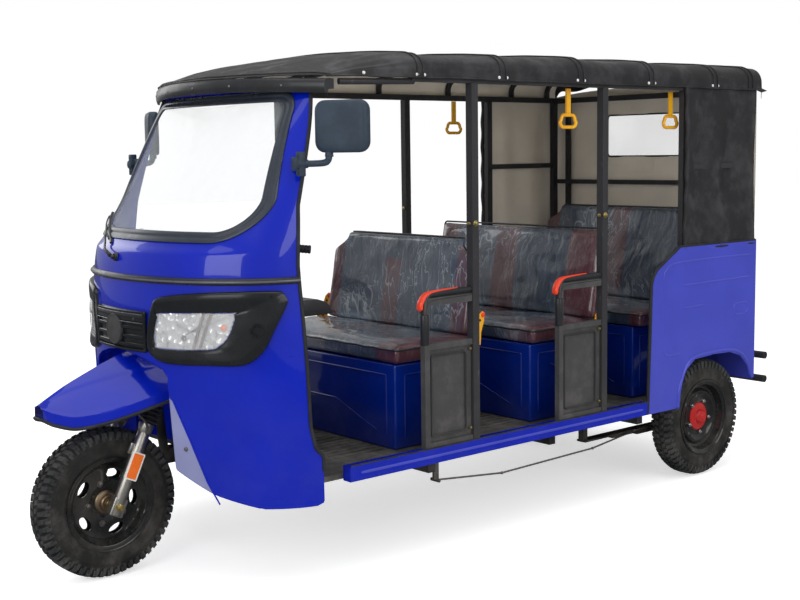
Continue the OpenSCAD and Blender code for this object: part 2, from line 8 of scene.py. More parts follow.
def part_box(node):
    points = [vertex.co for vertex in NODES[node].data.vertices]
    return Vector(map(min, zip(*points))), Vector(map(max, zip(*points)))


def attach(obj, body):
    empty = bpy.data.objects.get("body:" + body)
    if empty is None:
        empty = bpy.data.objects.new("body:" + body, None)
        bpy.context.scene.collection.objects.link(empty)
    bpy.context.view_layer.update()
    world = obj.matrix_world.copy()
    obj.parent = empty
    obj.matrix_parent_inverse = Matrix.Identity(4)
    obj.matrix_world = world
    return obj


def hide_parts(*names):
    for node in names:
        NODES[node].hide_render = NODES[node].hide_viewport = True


bl_info = {
    "name": "Passenger auto rickshaw",
    "version": (1, 0, 0),
    "blender": (4, 5, 0),
    "location": "View3D > Sidebar > Rickshaw",
    "description": "Builds the body, canopy, benches, wheels and trim of a three-row auto rickshaw",
    "category": "Object",
}

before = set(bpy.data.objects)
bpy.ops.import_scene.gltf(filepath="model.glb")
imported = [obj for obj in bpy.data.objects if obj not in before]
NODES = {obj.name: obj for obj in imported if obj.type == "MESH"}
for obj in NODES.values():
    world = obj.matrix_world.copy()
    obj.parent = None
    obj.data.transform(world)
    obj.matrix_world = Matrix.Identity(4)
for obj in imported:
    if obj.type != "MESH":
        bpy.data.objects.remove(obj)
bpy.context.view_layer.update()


def cad(node):
    """Lowest corner, highest corner and centre of a CAD node."""
    low, high = (Vector(corner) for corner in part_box(node))
    return low, high, (low + high) / 2


AXLE = cad("front_tyre")[2]
WHEEL_R = AXLE.z
RAKE = math.radians(25)


def at(x, y, z):
    """A point whose y is measured back from the front axle."""
    return Vector((x, y + AXLE.y, z))


def on_fork(x, y, up):
    """A point on the raked fork: x across, y behind the legs, up along them from the axle."""
    return at(x, y * math.cos(RAKE) + up * math.sin(RAKE), AXLE.z - y * math.sin(RAKE) + up * math.cos(RAKE))


# ---------------------------------------------------------------- numbers and tables

def smooth_table(pairs):
    """A smooth curve through pairs of numbers that never overshoots them."""
    xs, ys = [p[0] for p in pairs], [p[1] for p in pairs]
    n = len(xs)
    step = [(ys[i + 1] - ys[i]) / (xs[i + 1] - xs[i]) for i in range(n - 1)]
    slope = [step[0]] + [0.0 if step[i - 1] * step[i] <= 0 else 2 * step[i - 1] * step[i] / (step[i - 1] + step[i])
                         for i in range(1, n - 1)] + [step[-1]]

    def value(x):
        if x <= xs[0]:
            return ys[0]
        if x >= xs[-1]:
            return ys[-1]
        i = max(k for k in range(n - 1) if xs[k] <= x)
        h = xs[i + 1] - xs[i]
        t = (x - xs[i]) / h
        return (ys[i] * (1 + 2 * t) * (1 - t) ** 2 + slope[i] * h * t * (1 - t) ** 2
                + ys[i + 1] * t * t * (3 - 2 * t) + slope[i + 1] * h * t * t * (t - 1))
    return value


def straight_table(pairs):
    """Straight lines between pairs of numbers."""
    def value(x):
        if x <= pairs[0][0]:
            return pairs[0][1]
        for (x0, y0), (x1, y1) in zip(pairs, pairs[1:]):
            if x <= x1:
                return y0 + (y1 - y0) * (x - x0) / (x1 - x0)
        return pairs[-1][1]
    return value


def ease(a, b, x):
    """0 before a, 1 after b and smooth between them."""
    t = min(1.0, max(0.0, (x - a) / (b - a)))
    return t * t * (3 - 2 * t)


def closed_curve(points, count):
    """A closed smooth curve through 2-D points, at count even steps of its length."""
    dense, n = [], len(points)
    for i in range(n):
        p0, p1, p2, p3 = (Vector(points[(i + k) % n]) for k in (-1, 0, 1, 2))
        for j in range(16):
            t = j / 16
            dense.append(0.5 * ((2 * p1) + (p2 - p0) * t + (2 * p0 - 5 * p1 + 4 * p2 - p3) * t * t
                                + (3 * p1 - p0 - 3 * p2 + p3) * t ** 3))
    lengths = [0.0]
    for a, b in zip(dense, dense[1:] + dense[:1]):
        lengths.append(lengths[-1] + (b - a).length)
    out, k = [], 0
    for i in range(count):
        target = lengths[-1] * i / count
        while lengths[k + 1] < target:
            k += 1
        f = (target - lengths[k]) / max(1e-9, lengths[k + 1] - lengths[k])
        out.append(dense[k].lerp(dense[(k + 1) % len(dense)], f))
    return out


def rounded_outline(width, height, radius, steps=6):
    """Corners of a rounded rectangle about the origin, counter-clockwise from its lower right."""
    out = []
    for cx, cy, start in ((1, -1, -90), (1, 1, 0), (-1, 1, 90), (-1, -1, 180)):
        for i in range(steps + 1):
            a = math.radians(start + 90 * i / steps)
            out.append(Vector((cx * (width / 2 - radius) + radius * math.cos(a),
                               cy * (height / 2 - radius) + radius * math.sin(a))))
    return out


# ---------------------------------------------------------------- modelling

def deselect():
    """Leaves nothing selected or active."""
    for o in list(bpy.context.selected_objects):
        o.select_set(False)
    bpy.context.view_layer.objects.active = None


def pick(*objs):
    """Selects only these objects and makes the first active."""
    deselect()
    for o in objs:
        o.select_set(True)
    bpy.context.view_layer.objects.active = objs[0]


def bake_place(obj):
    """Moves an object's place into its mesh."""
    pick(obj)
    bpy.ops.object.transform_apply(location=True, rotation=True, scale=True)
    return obj


def edit(obj, *steps):
    """Runs edit-mode steps on all of a mesh."""
    pick(obj)
    bpy.ops.object.mode_set(mode="EDIT")
    bpy.ops.mesh.select_all(action="SELECT")
    for step in steps:
        step()
    bpy.ops.object.mode_set(mode="OBJECT")
    return obj


def merge_and_face_out(obj, distance=1e-5):
    """Merges doubled points and turns the faces outwards."""
    return edit(obj, lambda: bpy.ops.mesh.remove_doubles(threshold=distance),
                lambda: bpy.ops.mesh.normals_make_consistent(inside=False))


def modify(obj, kind, **values):
    """Adds a modifier and applies it."""
    pick(obj)
    m = obj.modifiers.new(kind.title(), kind)
    for key, value in values.items():
        setattr(m, key, value)
    bpy.ops.object.modifier_apply(modifier=m.name)
    return obj


def soften(obj, width, segments=2, angle=32):
    """Rounds the sharp edges."""
    return modify(obj, "BEVEL", width=width, segments=segments, limit_method="ANGLE",
                  angle_limit=math.radians(angle), harden_normals=False)


def thicken(obj, thickness, offset=-1.0, **more):
    """Gives a sheet its thickness."""
    return modify(obj, "SOLIDIFY", **{"thickness": thickness, "offset": offset, "use_even_offset": True, **more})


def join(objs):
    """Joins objects into the first."""
    objs = [o for o in objs if o is not None]
    pick(*objs)
    if len(objs) > 1:
        bpy.ops.object.join()
    return bpy.context.view_layer.objects.active


def copy_of(obj, matrix):
    """A copy with its own mesh, placed by a matrix."""
    new = obj.copy()
    new.data = obj.data.copy()
    bpy.context.scene.collection.objects.link(new)
    new.data.transform(matrix)
    if matrix.determinant() < 0:
        new.data.flip_normals()
    return new


def cuboid(low, high, round_edge=0.0, segments=2):
    """A box between two corners with rounded edges."""
    low, high = Vector(low), Vector(high)
    deselect()
    bpy.ops.mesh.primitive_cube_add(size=1, location=(low + high) / 2)
    obj = bpy.context.object
    obj.scale = high - low
    bake_place(obj)
    if round_edge:
        edit(obj, lambda: bpy.ops.mesh.bevel(offset=round_edge, segments=segments, affect="EDGES"))
    return obj


def rod(start, end, r, end_r=None, sides=24, round_edge=0.0):
    """A round bar or cone between two points."""
    start, end = Vector(start), Vector(end)
    d = end - start
    deselect()
    bpy.ops.mesh.primitive_cone_add(vertices=sides, radius1=r, radius2=r if end_r is None else end_r, depth=d.length,
                                    location=(start + end) / 2, rotation=d.to_track_quat("Z", "Y").to_euler())
    obj = bake_place(bpy.context.object)
    if round_edge:
        soften(obj, round_edge, 2, 50)
    return obj


def ball(centre, r, scale=(1, 1, 1), segments=20):
    """A stretched ball."""
    deselect()
    bpy.ops.mesh.primitive_uv_sphere_add(segments=segments, ring_count=segments // 2, radius=r, location=centre)
    bpy.context.object.scale = scale
    return bake_place(bpy.context.object)


def grid(columns, rows, place, wrap=False):
    """A sheet of quads whose corners place(u, v) sets, with u and v from 0 to 1."""
    deselect()
    bpy.ops.mesh.primitive_grid_add(x_subdivisions=columns, y_subdivisions=rows, size=1)
    obj = bpy.context.object
    for v in obj.data.vertices:
        v.co = place(v.co.x + 0.5, v.co.y + 0.5)
    if wrap:
        merge_and_face_out(obj)
    return obj


def loft(loops, closed=True, caps=False):
    """Skin over loops of points, which all have the same count."""
    count, rows = len(loops[0]), len(loops) - 1
    columns = count if closed else count - 1
    deselect()
    bpy.ops.mesh.primitive_grid_add(x_subdivisions=columns, y_subdivisions=rows, size=1)
    obj = bpy.context.object
    for v in obj.data.vertices:
        v.co = loops[round((v.co.y + 0.5) * rows)][round((v.co.x + 0.5) * columns) % count]
    if closed:
        edit(obj, lambda: bpy.ops.mesh.remove_doubles(threshold=1e-6))
    if caps:
        pick(obj)
        bpy.ops.object.mode_set(mode="EDIT")
        bpy.ops.mesh.select_all(action="DESELECT")
        bpy.ops.mesh.select_mode(type="VERT")
        bpy.ops.mesh.select_non_manifold()
        bpy.ops.mesh.fill_holes(sides=0)
        bpy.ops.object.mode_set(mode="OBJECT")
    return obj


def close_hole(obj, near, reach):
    """Fills the open loop of edges that lies within reach of a point."""
    pick(obj)
    bpy.ops.object.mode_set(mode="EDIT")
    bpy.ops.mesh.select_mode(type="VERT")
    bpy.ops.mesh.select_all(action="DESELECT")
    bpy.ops.mesh.select_non_manifold()
    bpy.ops.object.mode_set(mode="OBJECT")
    for v in obj.data.vertices:
        v.select = v.select and (v.co - near).length < reach
    bpy.ops.object.mode_set(mode="EDIT")
    bpy.ops.mesh.select_mode(type="VERT")
    bpy.ops.mesh.edge_face_add()
    bpy.ops.object.mode_set(mode="OBJECT")
    return obj


def turned(profile, axis_point, axis, steps=64):
    """Spins a profile of (radius, along) pairs round an axis through a point."""
    mesh = bpy.data.meshes.new("turned")
    mesh.from_pydata([(r, 0, z) for r, z in profile], [(i, i + 1) for i in range(len(profile) - 1)], [])
    obj = bpy.data.objects.new("turned", mesh)
    bpy.context.scene.collection.objects.link(obj)
    edit(obj, lambda: bpy.ops.mesh.spin(steps=steps, angle=2 * math.pi, center=(0, 0, 0), axis=(0, 0, 1)))
    merge_and_face_out(obj)
    obj.data.transform(Matrix.Translation(axis_point) @ Vector(axis).to_track_quat("Z", "Y").to_matrix().to_4x4())
    return obj


def tube(points, r, sides=10, closed=False):
    """A round bar swept along points."""
    curve = bpy.data.curves.new("tube", "CURVE")
    curve.dimensions = "3D"
    spline = curve.splines.new("POLY")
    spline.points.add(len(points) - 1)
    for p, co in zip(spline.points, points):
        p.co = (*co, 1)
    spline.use_cyclic_u = closed
    curve.bevel_depth = r
    curve.bevel_resolution = max(1, sides // 4)
    curve.use_fill_caps = not closed
    obj = bpy.data.objects.new("tube", curve)
    bpy.context.scene.collection.objects.link(obj)
    pick(obj)
    bpy.ops.object.convert(target="MESH")
    return merge_and_face_out(bpy.context.object)


def smooth_path(points, steps=8):
    """A smooth open curve through points."""
    out = []
    pts = [Vector(p) for p in points]
    for i in range(len(pts) - 1):
        p0, p1, p2, p3 = pts[max(0, i - 1)], pts[i], pts[i + 1], pts[min(len(pts) - 1, i + 2)]
        for j in range(steps):
            t = j / steps
            out.append(0.5 * ((2 * p1) + (p2 - p0) * t + (2 * p0 - 5 * p1 + 4 * p2 - p3) * t * t
                              + (3 * p1 - p0 - 3 * p2 + p3) * t ** 3))
    return out + [pts[-1]]


def finish(obj, name, body, materials, replaces=(), angle=35):
    """Names, smooths and attaches a finished piece."""
    obj.name = name
    obj.data.name = name
    if not isinstance(materials, (list, tuple)):
        materials = [materials]
    if len(obj.data.materials) != len(materials) or any(m is None for m in obj.data.materials):
        obj.data.materials.clear()
        for m in materials:
            obj.data.materials.append(m)
    pick(obj)
    bpy.ops.object.shade_smooth_by_angle(angle=math.radians(angle))
    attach(obj, body)
    if replaces:
        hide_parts(*replaces)
    return obj


def paint_faces(obj, index, test):
    """Gives one of the object's material slots to the faces whose centre passes a test."""
    for f in obj.data.polygons:
        if test(f):
            f.material_index = index


def give(obj, *materials):
    """Sets an object's material slots."""
    obj.data.materials.clear()
    for m in materials:
        obj.data.materials.append(m)
    return obj


def dress(nodes, material):
    """Puts a material on CAD nodes that stay visible."""
    for n in nodes:
        give(NODES[n], material)


# ---------------------------------------------------------------- shader groups

def node(tree, kind, **inputs):
    """A shader node whose sockets or settings are given by name."""
    n = tree.nodes.new(kind)
    for key, value in inputs.items():
        key = key.replace("_", " ")
        if key in n.inputs:
            if isinstance(value, bpy.types.NodeSocket):
                tree.links.new(value, n.inputs[key])
            else:
                n.inputs[key].default_value = value
        else:
            setattr(n, key.replace(" ", "_"), value)
    return n


def maths(tree, operation, a, b=None, c=None):
    """The result of a Math node."""
    n = tree.nodes.new("ShaderNodeMath")
    n.operation = operation
    n.use_clamp = False
    for socket, value in zip(n.inputs, (a, b, c)):
        if isinstance(value, bpy.types.NodeSocket):
            tree.links.new(value, socket)
        elif value is not None:
            socket.default_value = value
    return n.outputs[0]


def spread(tree, value, low, high, out_low=0.0, out_high=1.0):
    """A smooth step of a value from one range to another."""
    n = tree.nodes.new("ShaderNodeMapRange")
    n.interpolation_type = "SMOOTHSTEP"
    tree.links.new(value, n.inputs[0])
    for i, x in enumerate((low, high, out_low, out_high), 1):
        if isinstance(x, bpy.types.NodeSocket):
            tree.links.new(x, n.inputs[i])
        else:
            n.inputs[i].default_value = x
    return n.outputs[0]


def blend_colour(tree, factor, a, b):
    """A mix of two colours."""
    n = tree.nodes.new("ShaderNodeMix")
    n.data_type = "RGBA"
    n.clamp_factor = True
    for socket, value in ((n.inputs[0], factor), (n.inputs[6], a), (n.inputs[7], b)):
        if isinstance(value, bpy.types.NodeSocket):
            tree.links.new(value, socket)
        else:
            socket.default_value = value if isinstance(value, (int, float)) else (*value[:3], 1)
    return n.outputs[2]


def new_group(name, inputs, outputs):
    """An empty shader group: inputs are (name, default), outputs are names of number sockets."""
    g = bpy.data.node_groups.new(name, "ShaderNodeTree")
    g.interface.new_socket(name="Vector", in_out="INPUT", socket_type="NodeSocketVector")
    for key, value in inputs:
        s = g.interface.new_socket(name=key, in_out="INPUT", socket_type="NodeSocketFloat")
        s.default_value = value
    for key in outputs:
        g.interface.new_socket(name=key, in_out="OUTPUT", socket_type="NodeSocketFloat")
    return g, g.nodes.new("NodeGroupInput"), g.nodes.new("NodeGroupOutput")


def use_group(tree, name, vector, **inputs):
    """Places a shared shader group in a tree."""
    n = tree.nodes.new("ShaderNodeGroup")
    n.node_tree = bpy.data.node_groups[name]
    tree.links.new(vector, n.inputs["Vector"])
    for key, value in inputs.items():
        n.inputs[key.replace("_", " ")].default_value = value
    return n


def build_groups():
    """The effects that several finishes share."""
    # Settled road dust: patchy, and thicker towards the ground
    g, i, o = new_group("Road dust", [("Scale", 6.0), ("Height", 0.9), ("Amount", 0.4)], ["Mask"])
    patches = node(g, "ShaderNodeTexNoise", Vector=i.outputs["Vector"], Scale=i.outputs["Scale"], Detail=6.0,
                   Roughness=0.62)
    z = node(g, "ShaderNodeSeparateXYZ", Vector=i.outputs["Vector"]).outputs[2]
    low = spread(g, z, i.outputs["Height"], 0.0)
    patch = spread(g, patches.outputs[0], 0.36, 0.74)
    mask = maths(g, "MULTIPLY", maths(g, "MULTIPLY", low, patch), maths(g, "MULTIPLY", i.outputs["Amount"], 0.35))
    g.links.new(mask, o.inputs["Mask"])

    # Fine skin of sprayed enamel: a slow wave with tiny speckle
    g, i, o = new_group("Enamel skin", [("Scale", 90.0)], ["Height", "Speckle"])
    wave = node(g, "ShaderNodeTexNoise", Vector=i.outputs["Vector"], Scale=i.outputs["Scale"], Detail=2.0,
                Roughness=0.5)
    slow = node(g, "ShaderNodeTexNoise", Vector=i.outputs["Vector"], Scale=5.0, Detail=3.0, Roughness=0.5)
    g.links.new(wave.outputs[0], o.inputs["Height"])
    g.links.new(spread(g, slow.outputs[0], 0.3, 0.7), o.inputs["Speckle"])

    # Moulded or leather-cloth grain: small cells with worn high spots
    g, i, o = new_group("Moulded grain", [("Scale", 420.0)], ["Height", "Wear"])
    cells = node(g, "ShaderNodeTexVoronoi", Vector=i.outputs["Vector"], Scale=i.outputs["Scale"])
    cells.feature = "F1"
    fine = node(g, "ShaderNodeTexNoise", Vector=i.outputs["Vector"],
                Scale=maths(g, "MULTIPLY", i.outputs["Scale"], 0.35), Detail=3.0)
    g.links.new(maths(g, "ADD", cells.outputs[0], maths(g, "MULTIPLY", fine.outputs[0], 0.8)), o.inputs["Height"])
    worn = node(g, "ShaderNodeTexNoise", Vector=i.outputs["Vector"], Scale=9.0, Detail=8.0, Roughness=0.7)
    g.links.new(spread(g, worn.outputs[0], 0.42, 0.66), o.inputs["Wear"])

    # Scratches and rubbed places on painted steel
    g, i, o = new_group("Scuffs", [("Scale", 14.0), ("Amount", 0.5)], ["Mask"])
    stretch = node(g, "ShaderNodeMapping", Vector=i.outputs["Vector"])
    stretch.inputs["Scale"].default_value = (1.0, 1.0, 0.15)
    lines = node(g, "ShaderNodeTexNoise", Vector=stretch.outputs[0],
                 Scale=maths(g, "MULTIPLY", i.outputs["Scale"], 6.0), Detail=9.0, Roughness=0.78)
    areas = node(g, "ShaderNodeTexNoise", Vector=i.outputs["Vector"], Scale=i.outputs["Scale"], Detail=4.0)
    both_masks = maths(g, "MULTIPLY", spread(g, lines.outputs[0], 0.56, 0.66), spread(g, areas.outputs[0], 0.45, 0.7))
    g.links.new(maths(g, "MULTIPLY", both_masks, i.outputs["Amount"]), o.inputs["Mask"])

    # Thin wrapping film drawn over a pad: long sharp creases between slack places. Height is a real bump; the crease
    # highlights mask is for painted highlights along the creases, and the slack sheen mask is for a painted sky
    # reflection on loose film.
    g, i, o = new_group("Wrapping creases and painted sheen", [("Scale", 7.0), ("Sharpness", 0.03)], ["Height", "Streaks", "Slack sheen"])
    warp = node(g, "ShaderNodeTexNoise", Vector=i.outputs["Vector"],
                Scale=maths(g, "MULTIPLY", i.outputs["Scale"], 0.45), Detail=3.0)
    push = node(g, "ShaderNodeVectorMath", Vector=warp.outputs[1])
    push.operation = "SCALE"
    push.inputs["Scale"].default_value = 0.32
    moved = node(g, "ShaderNodeVectorMath")
    g.links.new(i.outputs["Vector"], moved.inputs[0])
    g.links.new(push.outputs[0], moved.inputs[1])
    heights, crease_highlights = [], []
    for turn, stretch_z, gain in ((0.15, 0.20, 1.0), (-0.35, 0.26, 1.9), (0.8, 0.4, 3.4)):
        m = node(g, "ShaderNodeMapping", Vector=moved.outputs[0])
        m.inputs["Rotation"].default_value = (turn * 0.3, turn, turn * 0.2)
        m.inputs["Scale"].default_value = (1.0, 1.0, stretch_z)
        n = node(g, "ShaderNodeTexNoise", Vector=m.outputs[0], Scale=maths(g, "MULTIPLY", i.outputs["Scale"], gain),
                 Detail=4.0, Roughness=0.55)
        fold = maths(g, "ABSOLUTE", maths(g, "SUBTRACT", n.outputs[0], 0.5))
        heights.append(maths(g, "MULTIPLY", fold, 1.0 / gain ** 0.6))
        # mask of the crease lines, used for painted highlights
        crease_highlights.append(spread(g, fold, i.outputs["Sharpness"], 0.0))
    g.links.new(maths(g, "ADD", maths(g, "ADD", heights[0], heights[1]), heights[2]), o.inputs["Height"])
    most = maths(g, "MAXIMUM", maths(g, "MULTIPLY", crease_highlights[0], 0.8),
                 maths(g, "MAXIMUM", maths(g, "MULTIPLY", crease_highlights[1], 0.9), crease_highlights[2]))
    # slack places, where a painted sky reflection is laid on the film
    slack = node(g, "ShaderNodeTexNoise", Vector=i.outputs["Vector"],
                 Scale=maths(g, "MULTIPLY", i.outputs["Scale"], 0.6), Detail=2.0)
    slack_sheen_mask = spread(g, slack.outputs[0], 0.46, 0.66)
    g.links.new(maths(g, "MULTIPLY", most, maths(g, "ADD", maths(g, "MULTIPLY", slack_sheen_mask, 0.88), 0.12)),
                o.inputs["Streaks"])
    g.links.new(slack_sheen_mask, o.inputs["Slack sheen"])

    # Woven lining cloth
    g, i, o = new_group("Lining weave", [("Scale", 600.0)], ["Height", "Tone"])
    a = node(g, "ShaderNodeTexWave", Vector=i.outputs["Vector"], Scale=i.outputs["Scale"])
    a.bands_direction = "Y"
    b = node(g, "ShaderNodeTexWave", Vector=i.outputs["Vector"], Scale=i.outputs["Scale"])
    b.bands_direction = "Z"
    g.links.new(maths(g, "MAXIMUM", a.outputs[1], b.outputs[1]), o.inputs["Height"])
    tone = node(g, "ShaderNodeTexNoise", Vector=i.outputs["Vector"], Scale=4.0, Detail=5.0)
    g.links.new(spread(g, tone.outputs[0], 0.3, 0.7), o.inputs["Tone"])


# ---------------------------------------------------------------- finishes

DUST = (0.30, 0.27, 0.23)


def new_material(name, roughness=0.5, metallic=0.0, **sockets):
    """An empty finish: returns the material, its tree, its Principled shader and the object coordinates."""
    m = bpy.data.materials.new(name)
    m.use_nodes = True
    tree = m.node_tree
    shader = tree.nodes["Principled BSDF"]
    shader.inputs["Roughness"].default_value = roughness
    shader.inputs["Metallic"].default_value = metallic
    for key, value in sockets.items():
        shader.inputs[key.replace("_", " ")].default_value = value
    where = tree.nodes.new("ShaderNodeTexCoord").outputs["Object"]
    return m, tree, shader, where


def bump(tree, shader, height, distance, strength=1.0):
    """Height on a surface, in metres of depth."""
    b = tree.nodes.new("ShaderNodeBump")
    b.inputs["Distance"].default_value = distance
    b.inputs["Strength"].default_value = strength
    tree.links.new(height, b.inputs["Height"])
    tree.links.new(b.outputs[0], shader.inputs["Normal"])


def enamel(name, colour, roughness=0.22, coat=1.0, dust=0.35, scuff=0.0, tint=0.10):
    """Gloss or satin paint on steel, with dust low down."""
    m, tree, shader, where = new_material(name, roughness, Coat_Weight=coat, Coat_Roughness=0.03,
                                          Specular_IOR_Level=0.15)
    skin = use_group(tree, "Enamel skin", where)
    deeper = tuple(c * (1 - tint) for c in colour)
    shade = blend_colour(tree, skin.outputs["Speckle"], deeper, colour)
    if scuff:
        marks = use_group(tree, "Scuffs", where, Amount=scuff)
        shade = blend_colour(tree, marks.outputs["Mask"], shade, tuple(min(1, c * 1.8 + 0.12) for c in colour))
    mask = use_group(tree, "Road dust", where, Amount=dust).outputs["Mask"]
    shade = blend_colour(tree, mask, shade, DUST)
    tree.links.new(shade, shader.inputs["Base Color"])
    tree.links.new(spread(tree, mask, 0.0, 1.0, roughness, 0.75), shader.inputs["Roughness"])
    bump(tree, shader, skin.outputs["Height"], 0.00025, 0.25)
    return m


def moulded(name, colour, roughness=0.5, grain=0.0004, scale=420.0, dust=0.25, worn=0.5, coat=0.0, **sockets):
    """Grained plastic, rubber or coated cloth."""
    m, tree, shader, where = new_material(name, roughness,
                                          **{"Coat_Weight": coat, "Coat_Roughness": 0.18, "Specular_IOR_Level": 0.28,
                                             **sockets})
    g = use_group(tree, "Moulded grain", where, Scale=scale)
    lighter = tuple(min(1, c * 1.5 + 0.012) for c in colour)
    shade = blend_colour(tree, maths(tree, "MULTIPLY", g.outputs["Wear"], worn), colour, lighter)
    mask = use_group(tree, "Road dust", where, Amount=dust, Scale=9.0).outputs["Mask"]
    shade = blend_colour(tree, mask, shade, DUST)
    tree.links.new(shade, shader.inputs["Base Color"])
    tree.links.new(spread(tree, g.outputs["Wear"], 0.0, 1.0, roughness + 0.06, max(0.05, roughness - 0.08)),
                   shader.inputs["Roughness"])
    bump(tree, shader, g.outputs["Height"], grain, 0.6)
    return m


def metal(name, colour, roughness=0.3, brushed=0.0002, stain=0.25, stain_colour=(0.10, 0.07, 0.045)):
    """Bare or plated metal with faint brushing and grime."""
    m, tree, shader, where = new_material(name, roughness, 1.0)
    stretch = node(tree, "ShaderNodeMapping", Vector=where)
    stretch.inputs["Scale"].default_value = (1.0, 1.0, 0.08)
    lines = node(tree, "ShaderNodeTexNoise", Vector=stretch.outputs[0], Scale=900.0, Detail=3.0)
    patches = node(tree, "ShaderNodeTexNoise", Vector=where, Scale=18.0, Detail=7.0, Roughness=0.7)
    grime = maths(tree, "MULTIPLY", spread(tree, patches.outputs[0], 0.45, 0.75), stain)
    tree.links.new(blend_colour(tree, grime, colour, stain_colour), shader.inputs["Base Color"])
    tree.links.new(spread(tree, lines.outputs[0], 0.3, 0.7, roughness * 0.75, roughness * 1.35),
                   shader.inputs["Roughness"])
    bump(tree, shader, lines.outputs[0], brushed, 0.4)
    return m


def wrapped_vinyl(name, base, stripe, stripes, axis=0):
    """Seat vinyl with stripes, under clear wrapping film. stripes are (from, to) places across the seat."""
    m, tree, shader, where = new_material(name, 0.34, Coat_Weight=1.0, Coat_Roughness=0.06, Coat_IOR=1.6)
    side = node(tree, "ShaderNodeSeparateXYZ", Vector=where).outputs[axis]
    g = use_group(tree, "Moulded grain", where, Scale=300.0)
    shade = blend_colour(tree, g.outputs["Wear"], base, tuple(c * 1.35 + 0.01 for c in base))
    red = blend_colour(tree, g.outputs["Wear"], stripe, tuple(c * 1.3 + 0.01 for c in stripe))
    height = node(tree, "ShaderNodeSeparateXYZ", Vector=where).outputs[2]
    for low, high, *top in stripes:
        inside = maths(tree, "MULTIPLY", spread(tree, side, low - 0.002, low + 0.002),
                       spread(tree, side, high + 0.002, high - 0.002))
        if top:
            inside = maths(tree, "MULTIPLY", inside, spread(tree, height, top[0] + 0.002, top[0] - 0.002))
        shade = blend_colour(tree, inside, shade, red)
    film = use_group(tree, "Wrapping creases and painted sheen", where, Scale=4.2, Sharpness=0.010)
    # Painted sky reflection: a pale blue sheen on the film's slack places, stronger on the low flat cushions than on
    # the upright backrests; the pale streaks along the creases are painted highlights.
    lying = spread(tree, height, 0.82, 0.78, 0.12, 0.42)
    painted_sky_sheen = blend_colour(tree, maths(tree, "MULTIPLY", film.outputs["Slack sheen"], lying), shade, (0.46, 0.56, 0.66))
    lit = blend_colour(tree, maths(tree, "MULTIPLY", film.outputs["Streaks"], 0.50), painted_sky_sheen, (0.80, 0.86, 0.92))
    tree.links.new(lit, shader.inputs["Base Color"])
    bump(tree, shader, film.outputs["Height"], 0.022, 0.6)
    return m


def clear(name, colour, alpha, roughness=0.02):
    """Thin clear glass or film with faint smears."""
    m, tree, shader, where = new_material(name, roughness, Alpha=alpha, IOR=1.45)
    smears = node(tree, "ShaderNodeTexNoise", Vector=where, Scale=3.0, Detail=5.0, Roughness=0.65)
    s = spread(tree, smears.outputs[0], 0.42, 0.72)
    tree.links.new(blend_colour(tree, s, colour, tuple(min(1, c + 0.12) for c in colour)), shader.inputs["Base Color"])
    tree.links.new(spread(tree, smears.outputs[0], 0.3, 0.8, alpha, min(1.0, alpha + 0.07)), shader.inputs["Alpha"])
    tree.links.new(spread(tree, smears.outputs[0], 0.3, 0.8, roughness, roughness + 0.06), shader.inputs["Roughness"])
    return m


MATERIALS = {}


